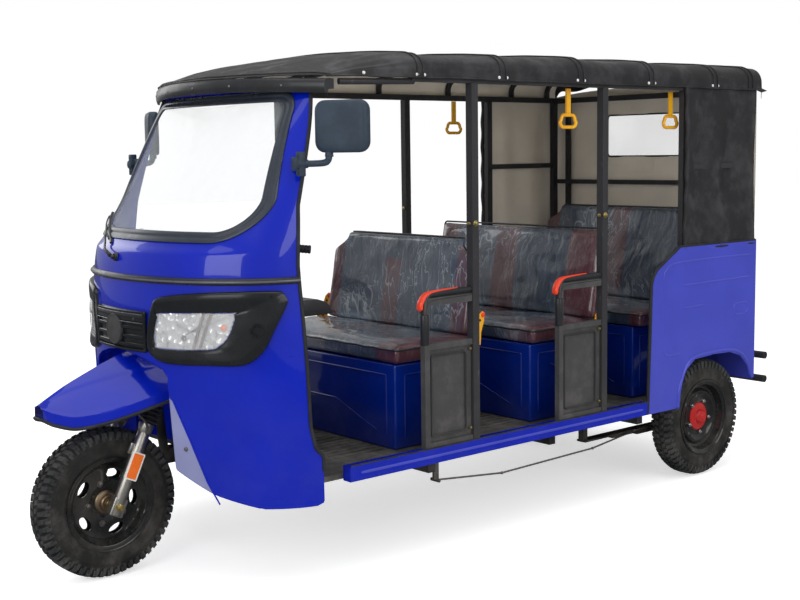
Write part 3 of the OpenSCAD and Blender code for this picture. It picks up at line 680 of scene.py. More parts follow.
def build_materials(colours):
    build_groups()
    M = MATERIALS
    blue = tuple(colours.paint)
    M["paint"] = enamel("Blue enamel", blue, 0.24, 0.75, 0.15)
    # The tub's blue is lighter and greyer than the body blue: painted reflected light on the same enamel
    M["tub_paint"] = enamel("Blue enamel on the tub, lightened as painted reflection", tuple(colours.tub_paint), 0.30, 0.8, 0.2)
    M["flange_paint"] = enamel("Pale enamel beside the wheel", (0.27, 0.29, 0.52), 0.35, 0.4, 0.3)
    M["box_paint"] = enamel("Dark blue enamel", tuple(colours.box_paint), 0.20, 1.0, 0.25)
    M["frame"] = enamel("Charcoal enamel", (0.040, 0.040, 0.043), 0.45, 0.15, 0.45, 0.5)
    M["guard"] = moulded("Charcoal panel", (0.062, 0.060, 0.060), 0.58, 0.0002, 300.0, 0.35)
    M["chassis"] = enamel("Underside black", (0.016, 0.016, 0.017), 0.55, 0.0, 0.9, 0.3)
    M["trim"] = moulded("Black moulding", (0.020, 0.021, 0.024), 0.32, 0.0002, 500.0, 0.2, 0.4, 0.25)
    M["gloss_trim"] = moulded("Gloss black moulding", (0.009, 0.010, 0.012), 0.20, 0.00005, 500.0, 0.0, 0.3, 0.30)
    M["rubber"] = moulded("Black rubber", (0.020, 0.021, 0.024), 0.42, 0.0002, 350.0, 0.25, 0.5)
    M["tyre"] = moulded("Tyre rubber", (0.017, 0.0165, 0.0155), 0.68, 0.0006, 260.0, 0.45, 0.7)
    M["tread"] = moulded("Tread rubber", (0.026, 0.028, 0.030), 0.62, 0.0006, 260.0, 0.5, 1.0)
    M["vinyl"] = moulded("Canopy vinyl", (0.021, 0.021, 0.023), 0.40, 0.0005, 380.0, 0.05, 1.0)
    M["mirror_shell"] = moulded("Blue-grey moulding", (0.030, 0.046, 0.068), 0.42, 0.0002, 420.0, 0.0, 0.5)
    M["floor"] = moulded("Floor rubber", (0.060, 0.058, 0.055), 0.7, 0.0006, 200.0, 1.0, 1.0)
    M["yellow"] = moulded("Yellow moulding", (0.90, 0.42, 0.012), 0.30, 0.0001, 500.0, 0.0, 0.3, 0.4)
    M["orange"] = moulded("Orange-red moulding", (0.86, 0.055, 0.018), 0.35, 0.0001, 500.0, 0.0, 0.3, 0.4)
    M["amber"] = moulded("Amber reflector", (0.90, 0.16, 0.006), 0.25, 0.0003, 900.0, 0.0, 0.3, 0.8)
    M["red_lens"] = moulded("Red lens", (0.55, 0.012, 0.010), 0.18, 0.0006, 500.0, 0.0, 0.2, 1.0)
    M["red_hub"] = enamel("Red hub enamel", (0.50, 0.018, 0.016), 0.35, 0.4, 0.25, 0.8)
    M["rim"] = enamel("Black rim enamel", (0.010, 0.011, 0.011), 0.26, 0.8, 0.5, 0.35)
    M["alloy"] = metal("Silver fork alloy", (0.56, 0.54, 0.49), 0.36, 0.0002, 0.3, (0.22, 0.19, 0.14))
    M["chrome"] = metal("Bright plating", (0.82, 0.83, 0.84), 0.14, 0.0001, 0.1)
    M["steel"] = metal("Dull steel", (0.34, 0.32, 0.30), 0.42, 0.0003, 0.6)
    M["brass"] = metal("Passivated nut", (0.62, 0.50, 0.20), 0.35, 0.0002, 0.5)
    M["cast"] = moulded("Cast housing", (0.10, 0.10, 0.105), 0.55, 0.0008, 160.0, 0.6, 0.8, Metallic=0.6)
    M["white"] = moulded("White plastic", (0.80, 0.80, 0.78), 0.4, 0.0001, 400.0, 0.0, 0.3)
    M["glass"] = clear("Windscreen glass", (0.80, 0.88, 0.93), 0.035)
    M["lens"] = clear("Lamp lens", (0.95, 0.97, 1.0), 0.10, 0.01)
    M["film"] = clear("Window film", (0.86, 0.90, 0.93), 0.16, 0.08)
    M["seal"] = moulded("Windscreen seal rubber", (0.030, 0.037, 0.052), 0.30, 0.0001, 400.0, 0.0, 0.5, 0.3)
    # Grey for lines laid on black mouldings as painted highlights
    M["strip_shine"] = moulded("Grey strip as painted highlight", (0.09, 0.095, 0.11), 0.22, 0.0001, 400.0, 0.0, 0.3, 0.6)
    M["boss_grey"] = moulded("Matt grey moulding", (0.045, 0.045, 0.046), 0.6, 0.0003, 400.0, 0.0, 0.4)
    M["lamp_grey"] = moulded("Lamp divider", (0.16, 0.13, 0.11), 0.5, 0.0001, 400.0, 0.0, 0.3)
    M["bulb"] = moulded("Lamp bulb shield", (0.02, 0.02, 0.02), 0.2, 0.0001, 400.0, 0.0, 0.2, 0.5)
    M["piping"] = moulded("Seat piping", (0.020, 0.022, 0.028), 0.32, 0.0002, 400.0, 0.0, 0.4, 0.6)
    M["hub_brown"] = metal("Grimy hub", (0.40, 0.30, 0.20), 0.45, 0.0004, 0.6)
    M["mirror_glass"] = metal("Mirror glass", (0.9, 0.9, 0.9), 0.03, 0.0, 0.02)

    m, tree, shader, where = new_material("Canopy lining", 0.85)
    weave = use_group(tree, "Lining weave", where)
    shade = blend_colour(tree, weave.outputs["Tone"], tuple(colours.lining),
                         tuple(min(1.0, c * 1.14) for c in colours.lining))
    tree.links.new(shade, shader.inputs["Base Color"])
    bump(tree, shader, weave.outputs["Height"], 0.0004, 0.5)
    M["lining"] = m

    # Pressed reflector bowl: bright facets in a regular pattern
    m, tree, shader, where = new_material("Faceted reflector", 0.14, 0.55)
    cells = node(tree, "ShaderNodeTexVoronoi", Vector=where, Scale=34.0, Randomness=0.85)
    tone = node(tree, "ShaderNodeTexNoise", Vector=where, Scale=26.0, Detail=5.0, Roughness=0.65)
    shade = blend_colour(tree, spread(tree, tone.outputs[0], 0.50, 0.64), (0.95, 0.95, 0.93), (0.46, 0.43, 0.37))
    tree.links.new(shade, shader.inputs["Base Color"])
    bump(tree, shader, cells.outputs[0], 0.012, 0.70)
    M["reflector"] = m

    seat, stripe = tuple(colours.seat), tuple(colours.stripe)
    M["seat_front"] = wrapped_vinyl("Front bench vinyl", seat, stripe,
                                    [(-0.50, -0.365), (-0.07, 0.03, 1.035), (0.355, 0.50)])
    M["seat_middle"] = wrapped_vinyl("Middle bench vinyl", seat, stripe, [(-0.60, -0.37), (-0.11, 0.03), (0.33, 0.60)])
    M["seat_rear"] = wrapped_vinyl("Rear bench vinyl", seat, stripe, [(-0.60, -0.40), (-0.06, 0.05), (0.42, 0.60)])


# ---------------------------------------------------------------- nose

NOSE_FRONT = smooth_table([(0.285, 0.098), (0.700, 0.090), (0.900, 0.086), (1.055, 0.100), (1.140, 0.116),
                           (1.172, 0.150),
                           (1.240, 0.197), (1.345, 0.270), (1.450, 0.3425), (1.570, 0.4257), (1.690, 0.509),
                           (1.745, 0.540)])
NOSE_HALF = smooth_table([(0.285, 0.628), (0.420, 0.626), (0.700, 0.612), (0.900, 0.592), (1.055, 0.572),
                          (1.172, 0.562), (1.745, 0.548)])
NOSE_BACK = straight_table([(0.285, 0.500), (1.172, 0.500), (1.745, 0.670)])
NOSE_POWER = straight_table([(0.285, 1.8), (1.055, 2.1), (1.745, 2.2)])
DOOR_EDGE = straight_table([(0.285, 0.470), (0.296, 0.505), (0.330, 0.600), (0.342, 0.608), (0.396, 0.610),
                            (0.440, 0.520),
                            (0.480, 0.472), (0.560, 0.456), (1.100, 0.456), (1.300, 0.474), (1.745, 0.596)])
WHEEL_OPENING = straight_table([(0.286, 0.538), (0.330, 0.400), (0.404, 0.262), (0.720, 0.250), (0.748, 0.235),
                                (0.774, 0.170),
                                (0.794, 0.090), (0.803, 0.006)])
# Where the painted panel ends and the flange beside the wheel begins, as (height, angle)
FLANGE_LINE = straight_table([(0.286, 44.0), (0.369, 39.1), (0.514, 32.8), (0.647, 26.4), (0.803, 0.0)])
FLANGE_TOP = 0.655
SHELL_LOW, SHELL_HIGH = 0.286, 1.050
COWL_LOW, COWL_HIGH = 1.060, 1.700
ARCH_TOP = 0.803


def on_nose(angle, z, proud=0.0):
    """A point on the nose's rounded skin: the angle is round the plan from the middle of the front, in degrees."""
    half, front, back, power = NOSE_HALF(z) + proud, NOSE_FRONT(z) - proud, NOSE_BACK(z), NOSE_POWER(z)
    a = math.radians(abs(angle))
    x = half * math.sin(a) ** (2 / power)
    return at(math.copysign(x, angle), back - (back - front) * max(0.0, math.cos(a)) ** (2 / power), z)


def angle_at(z, y):
    """The angle at which the nose's skin is y behind the axle."""
    front, back = NOSE_FRONT(z), NOSE_BACK(z)
    if y >= back:
        return 90.0
    c = ((back - y) / (back - front)) ** (NOSE_POWER(z) / 2)
    return math.degrees(math.acos(min(1.0, max(0.0, c))))


def angle_of_x(z, x):
    """The angle at which the nose's skin is x from the middle."""
    s = min(1.0, abs(x) / NOSE_HALF(z)) ** (NOSE_POWER(z) / 2)
    return math.copysign(math.degrees(math.asin(s)), x)


def door_angle(z):
    """The angle of the doorway's edge at a height."""
    return angle_at(z, DOOR_EDGE(z))


BEZEL = [(23.4, 1.000), (19.2, 0.965), (17.0, 0.869), (17.0, 0.821), (19.2, 0.791), (25.3, 0.773), (42.7, 0.775),
         (54.7, 0.777),
         (60.7, 0.796), (65.9, 0.836), (70.5, 0.896), (77.2, 0.981), (76.4, 1.004), (72.5, 1.023), (44.2, 1.020)]
LENS = [(23.6, 0.946), (21.5, 0.926), (19.8, 0.870), (20.1, 0.839), (22.1, 0.821), (43.0, 0.828), (47.7, 0.844),
        (51.1, 0.872),
        (54.1, 0.925), (54.3, 0.948), (53.1, 0.955)]


# Metres along the skin for one degree round the nose
DEGREE = 0.0098


def outline(points, count=120):
    """A smooth closed line on the nose, as (angle, z) pairs. Degrees are brought to the same scale as height first."""
    return [(p.x / DEGREE, p.y) for p in closed_curve([(a * DEGREE, z) for a, z in points], count)]


def inside(points, angle, z):
    """Whether a point on the nose lies within a closed line."""
    hit = False
    n = len(points)
    for i in range(n):
        (a0, z0), (a1, z1) = points[i], points[(i + 1) % n]
        if (z0 > z) != (z1 > z) and angle < a0 + (z - z0) * (a1 - a0) / (z1 - z0):
            hit = not hit
    return hit


def inset(points, distance):
    """The line moved inwards by a distance in metres."""
    n, out = len(points), []
    for i in range(n):
        a, b = points[i - 1], points[(i + 1) % n]
        d = Vector(((b[0] - a[0]) * DEGREE, b[1] - a[1]))
        normal = Vector((-d.y, d.x)).normalized()
        out.append((points[i][0] + normal.x * distance / DEGREE, points[i][1] + normal.y * distance))
    area = sum(points[i - 1][0] * points[i][1] - points[i][0] * points[i - 1][1] for i in range(n))
    if area < 0:
        return [(2 * p[0] - q[0], 2 * p[1] - q[1]) for p, q in zip(points, out)]
    return out


def build_nose(sizes):
    """The blue shell below the windscreen, in one thick sheet with its lamp openings and a paler flange beside the wheel."""
    lens_line = inset(outline(LENS), 0.004)

    def side_panel(u, v):
        t = v
        z = SHELL_LOW + (ARCH_TOP - SHELL_LOW) * (t if t < 0.55
                                                  else 0.55 + (1 - 0.55) * (1 - (1 - (t - 0.55) / 0.45) ** 1.6))
        low, high = angle_of_x(z, WHEEL_OPENING(z)), door_angle(z)
        edge = max(low + 1.2, FLANGE_LINE(z))
        a = low + (edge - low) * u / 0.125 if u < 0.125 else edge + (high - edge) * (u - 0.125) / 0.875
        return on_nose(a, z)

    panels = []
    for side in (1, -1):
        p = grid(64, 72, side_panel)
        if side < 0:
            p.data.transform(Matrix.Scale(-1, 4, Vector((1, 0, 0))))
        panels.append(p)

    def band(u, v):
        z = ARCH_TOP + (SHELL_HIGH - ARCH_TOP) * v
        return on_nose((2 * u - 1) * door_angle(z), z)

    upper = grid(240, 64, band)
    cut = bmesh.new()
    cut.from_mesh(upper.data)
    doomed = []
    for f in cut.faces:
        c = f.calc_center_median()
        a = abs(angle_of_x(c.z, c.x)) if abs(c.x) < NOSE_HALF(c.z) * 0.96 else angle_at(c.z, c.y - AXLE.y)
        if inside(lens_line, a, c.z):
            doomed.append(f)
    bmesh.ops.delete(cut, geom=doomed, context="FACES")
    cut.to_mesh(upper.data)
    cut.free()
    shell = join(panels + [upper])
    merge_and_face_out(shell, 0.0012)
    turn_out(shell, at(0, 0.6, 0.8))
    thicken(shell, sizes.panel)
    pieces = [shell]
    # Flange turned in round the wheel opening
    for side in (1, -1):
        path = []
        for k in range(60):
            z = SHELL_LOW + 0.004 + (ARCH_TOP - SHELL_LOW - 0.006) * k / 59
            path.append(on_nose(side * angle_of_x(z, WHEEL_OPENING(z)), z, 0.001))
        loops = [[p + Vector((0, d, 0)) + Vector((side * s, 0, 0)) for p in path]
                 for d, s in ((0.0, 0), (0.020, 0.006), (0.046, 0.008))]
        lip = loft(loops, closed=False)
        thicken(lip, 0.003, 0.0)
        pieces.append(merge_and_face_out(lip))
    obj = join(pieces)
    give(obj, MATERIALS["paint"], MATERIALS["flange_paint"])
    paint_faces(obj, 1, lambda f: f.center.z < FLANGE_TOP and abs(angle_of_x(f.center.z,
            f.center.x)) < FLANGE_LINE(f.center.z) and f.center.y < at(0, 0.40, 0).y)
    finish(obj, "nose_shell", "chassis", [MATERIALS["paint"], MATERIALS["flange_paint"]], ["nose_shell"],
           50)
    edges, bolts = [], []
    for side in (1, -1):
        path = [on_nose(side * FLANGE_LINE(z), z, 0.0005)
                for z in (SHELL_LOW + 0.010 + (FLANGE_TOP - SHELL_LOW - 0.010) * k / 40 for k in range(41))]
        edges.append(tube(path, 0.0028, 6))
        p = on_nose(side * (FLANGE_LINE(0.480) - 3.2), 0.480)
        out = Vector((side * 0.45, -0.9, 0)).normalized()
        bolts.append(rod(p - out * 0.003, p + out * 0.005, 0.0085, 0.0075, 6, 0.001))
    finish(join(edges), "flange_edges", "chassis", MATERIALS["paint"], angle=50)
    finish(join(bolts), "flange_bolts", "chassis", MATERIALS["steel"], angle=30)
    # Rubber beading along the doorway and the lower edge
    for side, word in ((1, "left"), (-1, "right")):
        path = []
        for k in range(90):
            z = 0.402 + (COWL_HIGH - 0.402 - 0.005) * k / 89
            path.append(on_nose(side * min(90, door_angle(z)), z, 0.001))
        bead = tube(path, 0.0065)
        finish(bead, f"doorway_beading_{word}", "chassis", MATERIALS["rubber"])


def turn_out(obj, middle):
    """Makes the faces of an open sheet look away from a point."""
    facing = sum((Vector(f.center) - middle).dot(f.normal) * f.area for f in obj.data.polygons)
    if facing < 0:
        obj.data.flip_normals()
    return obj


SCREEN_LOW, SCREEN_TOP = 1.199, 1.668
SCREEN_HALF_LOW, SCREEN_HALF_TOP = 0.489, 0.440
SCREEN_R_LOW, SCREEN_R_TOP = 0.125, 0.056


def screen_line(grow=0.0, count=200):
    """The windscreen opening as (x, z) pairs from its lower right corner, counter-clockwise."""
    pts = []
    corners = ((1, SCREEN_LOW - grow, SCREEN_HALF_LOW + grow, SCREEN_R_LOW + grow, -90, 1),
               (1, SCREEN_TOP + grow, SCREEN_HALF_TOP + grow, SCREEN_R_TOP + grow, 0, -1),
               (-1, SCREEN_TOP + grow, SCREEN_HALF_TOP + grow, SCREEN_R_TOP + grow, 90, -1),
               (-1, SCREEN_LOW - grow, SCREEN_HALF_LOW + grow, SCREEN_R_LOW + grow, 180, 1))
    for side, z, half, r, start, up in corners:
        for i in range(17):
            a = math.radians(start + 90 * i / 16)
            pts.append(Vector((side * (half - r) + r * math.cos(a), z + up * r + r * math.sin(a))))
    # even steps along the outline, so that every ring has its points at matching places
    lengths = [0.0]
    for a, b in zip(pts, pts[1:] + pts[:1]):
        lengths.append(lengths[-1] + (b - a).length)
    out, k = [], 0
    for i in range(count):
        target = lengths[-1] * i / count
        while lengths[k + 1] < target:
            k += 1
        f = (target - lengths[k]) / max(1e-9, lengths[k + 1] - lengths[k])
        out.append(pts[k].lerp(pts[(k + 1) % len(pts)], f))
    return [(p.x, p.y) for p in out]


def build_cowl(sizes):
    """The painted surround of the windscreen, with pillars and a drip lip."""
    line = screen_line()
    loops = []
    rings = 22
    for j in range(rings + 1):
        t = j / rings
        loop = []
        for x, z in line:
            a = angle_of_x(z, x)
            # the outer end of each line: straight out from the opening to the panel's border
            mid_z = (SCREEN_LOW + SCREEN_TOP) / 2
            dx, dz = x, z - mid_z
            # scale from the opening to the border along x and z separately
            z_border = COWL_HIGH if dz > 0 else COWL_LOW
            reach_z = (SCREEN_TOP - mid_z) if dz > 0 else (mid_z - SCREEN_LOW)
            fz = abs(dz) / reach_z
            half_here = SCREEN_HALF_LOW + (SCREEN_HALF_TOP - SCREEN_HALF_LOW) * (z - SCREEN_LOW) / (SCREEN_TOP
                                                                                                    - SCREEN_LOW)
            fx = abs(dx) / half_here
            m = max(fz, fx)
            zo = mid_z + (z_border - mid_z) * fz / m if dz > 0 else mid_z - (mid_z - z_border) * fz / m
            ao = math.copysign(door_angle(zo) * fx / m, x)
            zz = z + (zo - z) * t
            aa = a + (ao - a) * t
            loop.append(on_nose(aa, zz))
        loops.append(loop)
    obj = loft(loops)
    turn_out(obj, at(0, 0.7, 1.35))
    thicken(obj, sizes.panel)
    # Rolled lip along the top edge
    lip = tube([on_nose(door_angle(1.697) * (2 * k / 60 - 1), 1.697, 0.001) for k in range(61)], 0.004)
    obj = join([obj, lip])
    finish(obj, "windscreen_surround", "chassis", MATERIALS["paint"], ["windscreen_cowl"], 40)


def build_waist_strip():
    """Black moulding that covers the joint under the windscreen, with a grey raised line along its crown that is a
    painted highlight.
    """
    z = 1.054
    count = 120
    path = [(door_angle(z) * (2 * k / count - 1), z) for k in range(count + 1)]
    section = [(-0.0115, 0.0), (-0.010, 0.006), (-0.005, 0.0095), (0.0, 0.0105), (0.005, 0.0095), (0.010, 0.006),
               (0.0115, 0.0)]
    loops = [[on_nose(a, z + dz, 0.001 + proud) for dz, proud in section] for a, _ in path]
    body = loft(loops, closed=True, caps=True)
    merge_and_face_out(body)
    finish(body, "waist_strip", "chassis", MATERIALS["trim"], angle=60)
    # The grey line along the crown is a painted highlight
    loops = [[on_nose(a, z + dz, 0.001 + proud)
              for dz, proud in ((-0.0035, 0.0095), (-0.003, 0.0122), (0.0, 0.0128), (0.003, 0.0122),
                                                                  (0.0035, 0.0095))] for a, _ in path]
    painted_highlight = loft(loops, closed=True, caps=True)
    merge_and_face_out(painted_highlight)
    finish(painted_highlight, "waist_strip_painted_highlight", "chassis", MATERIALS["strip_shine"], angle=60)


def build_windscreen(sizes):
    """Clear bent glass in a wide black rubber seal with a raised lip."""
    def on_screen(x, z, proud):
        return on_nose(angle_of_x(z, x), z, proud)

    def ring(grow, proud):
        return [on_screen(x, z, proud) for x, z in screen_line(grow)]

    profile = [(-0.017, -0.004), (-0.0165, 0.003), (-0.014, 0.0055), (-0.009, 0.0065), (-0.004, 0.0055),
               (-0.001, 0.0035), (0.002, 0.0035),
               (0.006, 0.007), (0.012, 0.0078), (0.017, 0.0065), (0.0195, 0.003), (0.020, 0.0005), (0.012, -0.003)]
    loops = [ring(g, p) for g, p in profile]
    seal = loft(loops + [loops[0]])
    merge_and_face_out(seal)
    finish(seal, "windscreen_seal", "chassis", MATERIALS["seal"], ["windscreen_seal"], 50)

    inner = screen_line(-0.010)
    middle = (0.0, (SCREEN_LOW + SCREEN_TOP) / 2)
    loops = []
    for j in range(24):
        s = 1 - j / 24
        loops.append([on_screen(middle[0] + (x - middle[0]) * s, middle[1] + (z - middle[1]) * s, -0.001)
                      for x, z in inner])
    pane = loft(loops)
    close_hole(pane, on_screen(0, middle[1], -0.001), 0.06)
    turn_out(pane, at(0, 0.9, 1.4))
    thicken(pane, sizes.glass)
    finish(pane, "windscreen", "chassis", MATERIALS["glass"], ["windscreen"], 60)


# The wiper on the glass, as (x, z) places
PIVOT, ARM_END = (-0.048, 1.121), (-0.275, 1.212)
BLADE = (-0.146, 1.164), (-0.403, 1.260)


def build_wiper():
    """Single wiper: pivot cap, spring arm, bridge and blade lying on the glass."""
    def spot(x, z, proud):
        return on_nose(angle_of_x(z, x), z, proud)

    def between(start, end, t, proud):
        return spot(start[0] + (end[0] - start[0]) * t, start[1] + (end[1] - start[1]) * t, proud)

    pivot = spot(*PIVOT, 0.0)
    out = (spot(*PIVOT, 0.02) - pivot).normalized()
    pieces = [rod(pivot, pivot + out * 0.012, 0.016, 0.013, 28, 0.002),
              rod(pivot + out * 0.010, pivot + out * 0.022, 0.008, 0.007, 20, 0.0015)]
    path = [between(PIVOT, ARM_END, i / 14, 0.016 + 0.010 * math.sin(math.pi * i / 14)) for i in range(15)]
    pieces.append(tube(path, 0.0042, 8))
    pieces.append(rod(spot(-0.060, 1.126, 0.020), spot(-0.110, 1.146, 0.026), 0.0075, 0.0055, 16, 0.001))
    bridge = [between(*BLADE, t, 0.012 + 0.008 * math.sin(math.pi * t))
              for t in (0.12 + 0.76 * i / 14 for i in range(15))]
    pieces.append(tube(bridge, 0.0032, 8))
    blade = [between(*BLADE, i / 20, 0.0085) for i in range(21)]
    pieces.append(tube(blade, 0.0045, 8))
    rubber = [between(*BLADE, i / 20, 0.004) for i in range(21)]
    pieces.append(tube(rubber, 0.0028, 6))
    finish(join(pieces), "wiper", "chassis", MATERIALS["trim"], ["wiper"], 45)


def build_lamps():
    """Both headlamps: deep black surround, faceted double reflector, divider, bulbs and clear lens."""
    outer = outline(BEZEL)
    lens = outline(LENS)
    # the surround's line and the lens's line start at the same corner, so their points pair up
    shift = min(range(len(lens)), key=lambda k: sum(abs(lens[(i + k) % len(lens)][0] - outer[i][0]) * DEGREE
                                                    + abs(lens[(i + k) % len(lens)][1] - outer[i][1])
                                                    for i in range(len(outer))))
    lens = [lens[(i + shift) % len(lens)] for i in range(len(lens))]
    middle = (36.0, 0.886)
    for side, word in ((1, "left"), (-1, "right")):
        grow = [(0.0, 0.0), (0.0005, 0.010), (0.004, 0.0155), (0.010, 0.0170)]
        loops = [[on_nose(side * a, z, p) for a, z in inset(outer, d)] for d, p in grow]
        rim_in = inset(outer, 0.010)
        for t, p in ((0.25, 0.0165), (0.5, 0.0150), (0.75, 0.0135), (0.93, 0.0120)):
            loops.append([on_nose(side * (a0 + (a1 - a0) * t), z0 + (z1 - z0) * t, p)
                          for (a0, z0), (a1, z1) in zip(rim_in, lens)])
        loops.append([on_nose(side * a, z, 0.0095) for a, z in lens])
        loops.append([on_nose(side * a, z, -0.004) for a, z in inset(lens, 0.0015)])
        surround = loft(loops)
        merge_and_face_out(surround)
        turn_out(surround, at(0, 0.5, 0.9))
        thicken(surround, 0.0025)
        # Recess disc behind the lamp
        centre = on_nose(side * 62.9, 0.894, 0.0150)
        outward = (on_nose(side * 62.9, 0.894, 0.05) - centre).normalized()
        disc = turned([(0.0, 0.0035), (0.014, 0.0035), (0.0155, 0.0015), (0.019, 0.0015), (0.0205, 0.0055),
                       (0.0235, 0.0055), (0.0245, 0.0)],
                      centre, outward, 40)
        screws = []
        for a, z in ((21.5, 0.978), (70.0, 1.006), (24.0, 0.786)):
            p = on_nose(side * a, z, 0.0155)
            d = (on_nose(side * a, z, 0.05) - p).normalized()
            screws.append(rod(p, p + d * 0.003, 0.0055, 0.0045, 16))
        obj = join([surround, disc] + screws)
        finish(obj, f"lamp_surround_{word}", "chassis", MATERIALS["gloss_trim"], ["lamp_bezels"]
               if side > 0 else (), 45)
        # Reflector: two bowls beside each other
        loops = [[on_nose(side * a, z, -0.001) for a, z in inset(lens, 0.0005)]]
        for t, depth in ((0.08, 0.014), (0.2, 0.026), (0.4, 0.038), (0.6, 0.046), (0.8, 0.051), (0.96, 0.053)):
            loops.append([on_nose(side * (a + (middle[0] - a) * t), z + (middle[1] - z) * t, -depth) for a, z in lens])
        bowl = loft(loops)
        close_hole(bowl, on_nose(side * middle[0], middle[1], -0.053), 0.03)
        merge_and_face_out(bowl)
        turn_out(bowl, at(0, 0.5, 0.9))
        thicken(bowl, 0.002)
        finish(bowl, f"lamp_reflector_{word}", "chassis", MATERIALS["reflector"], ["headlamps"]
               if side > 0 else (), 30)
        # Divider: a double upright with a dark hollow between
        bars = []
        for (a0, z0), (a1, z1) in (((41.7, 0.951), (36.5, 0.828)), ((44.8, 0.953), (39.3, 0.831))):
            loops = []
            for k in range(13):
                t = k / 12
                a, z = a0 + (a1 - a0) * t, z0 + (z1 - z0) * t
                loops.append([on_nose(side * (a + da), z, p)
                              for da, p in ((-0.55, 0.0055), (0.55, 0.0055), (0.55, -0.030), (-0.55, -0.030))])
            bar = loft(loops, caps=True)
            bars.append(merge_and_face_out(bar))
        for a, z, r in ((32.5, 0.862, 0.014), (49.2, 0.902, 0.013)):
            p, q = on_nose(side * a, z, -0.046), on_nose(side * a, z, -0.012)
            bars.append(rod(p, q, r, r * 0.8, 24, 0.002))
        obj = join(bars)
        finish(obj, f"lamp_divider_{word}", "chassis", MATERIALS["lamp_grey"], angle=40)
        bulb = ball(on_nose(side * 32.5, 0.862, -0.008), 0.0105)
        finish(bulb, f"lamp_bulb_{word}", "chassis", MATERIALS["bulb"], angle=60)
        amber = ball(on_nose(side * 49.6, 0.902, -0.007), 0.0125)
        finish(amber, f"turn_bulb_{word}", "chassis", MATERIALS["amber"], angle=60)
        # Clear lens, slightly domed, with pressed flutes
        loops = []
        for t, p in ((0.0, 0.0060), (0.02, 0.0085), (0.08, 0.0100), (0.2, 0.0110), (0.35, 0.0116), (0.5, 0.0120),
                     (0.65, 0.0122), (0.8, 0.0124), (0.93, 0.0124)):
            loops.append([on_nose(side * (a + (middle[0] - a) * t), z + (middle[1] - z) * t,
                                  p + (0.0005 * math.sin(a * 3.2) if 0.1 < t else 0))
                          for a, z in inset(lens, 0.001)])
        cover = loft(loops)
        close_hole(cover, on_nose(side * middle[0], middle[1], 0.012), 0.04)
        merge_and_face_out(cover)
        turn_out(cover, at(0, 0.5, 0.9))
        thicken(cover, 0.002)
        finish(cover, f"lamp_lens_{word}", "chassis", MATERIALS["lens"], angle=60)


def build_grille():
    """Moulded panel between the lamps: broad top bar with grey lines along its edges as painted highlights, slots,
    plain round boss and a screw.
    """
    half = 16.2

    frame_line = rounded_angles(half, 0.802, 0.945, 0.010)
    profile = [(0.0, 0.0), (0.0, 0.010), (0.003, 0.0138), (0.009, 0.0138), (0.012, 0.0100), (0.013, 0.002)]
    loops = [[on_nose(a, z, p) for a, z in inset(frame_line, d)] for d, p in profile]
    edge = loft(loops + [loops[0]])
    pieces = [merge_and_face_out(edge)]
    back = surface_sheet(-half + 0.5, half - 0.5, 0.807, 0.941, 0.0025, 24, 10)
    thicken(back, 0.003, 0.0)
    pieces.append(back)
    # Slats: a broad one above and narrow ones under it
    for z, tall in ((0.921, 0.026), (0.886, 0.012), (0.855, 0.012), (0.826, 0.012)):
        loops = []
        for k in range(41):
            a = (half - 1.0) * (2 * k / 40 - 1)
            t = tall / 2
            loops.append([on_nose(a, z + dz, p)
                          for dz, p in ((-t, 0.002), (-t, 0.0105), (-t * 0.7, 0.0125), (t * 0.7, 0.0125), (t, 0.0105),
                                        (t, 0.002))])
        slat = loft(loops, closed=True, caps=True)
        pieces.append(merge_and_face_out(slat))
    obj = join(pieces)
    finish(obj, "grille_panel", "chassis", MATERIALS["gloss_trim"], ["front_grille"], 40)
    # Grey lines along the top bar's edges are painted highlights
    highlight_lines = []
    for z, p in ((0.9335, 0.0128), (0.904, 0.0128)):
        highlight_lines.append(tube([on_nose((half - 1.2) * (2 * k / 40 - 1), z, p) for k in range(41)], 0.0018, 6))
    finish(join(highlight_lines), "grille_painted_highlight_lines", "chassis", MATERIALS["strip_shine"], angle=60)
    centre = on_nose(angle_of_x(0.872, -0.016), 0.872, 0.0105)
    outward = (on_nose(angle_of_x(0.872, -0.016), 0.872, 0.05) - centre).normalized()
    boss = turned([(0.0, 0.0062), (0.040, 0.0058), (0.0460, 0.0045), (0.0475, 0.0060), (0.0520, 0.0060),
                   (0.0540, 0.0040), (0.0545, -0.006)], centre, outward, 56)
    screw_at = on_nose(10.5, 0.917, 0.012)
    screw = rod(screw_at, screw_at + Vector((0, -0.003, 0)), 0.0055, 0.0045, 16)
    finish(join([boss, screw]), "grille_boss", "chassis", MATERIALS["boss_grey"], angle=40)


def rounded_angles(half_angle, low, high, radius, steps=6):
    """A rounded rectangle on the nose as (angle, z) pairs, dense enough to bend round it."""
    width = half_angle * 2 * DEGREE
    corners = rounded_outline(width, high - low, radius, steps)
    out = []
    n = len(corners)
    for i in range(n):
        a, b = corners[i], corners[(i + 1) % n]
        parts = max(1, int((b - a).length / 0.008))
        out += [a.lerp(b, k / parts) for k in range(parts)]
    return [(p.x / DEGREE, p.y + (low + high) / 2) for p in out]


def surface_sheet(a0, a1, z0, z1, proud, columns, rows):
    """A patch of the nose's skin between two angles and two heights."""
    return turn_out(grid(columns, rows, lambda u, v: on_nose(a0 + (a1 - a0) * u, z0 + (z1 - z0) * v, proud)),
                    at(0, 0.6, 0.9))


# ---------------------------------------------------------------- roof and curtains

# Where the hoops stand behind the front axle, and the share of the canopy ahead of the first
HOOPS = [0.950, 1.362, 1.795, 2.235, 2.676, 2.942]
CANOPY_END = 3.024
FRONT_SHARE = 0.16
ROOF_RISE, FRONT_DROP = 0.138, 0.020
HEM_Z, CROWN_Z, ROOF_HALF, CORNER_R, EDGE_Z = 1.734, 1.872, 0.634, 0.070, 1.842


def visor_y(x):
    """How far behind the front axle the visor's front edge is."""
    return 0.418 + 0.175 * (abs(x) / 0.560) ** 2.2


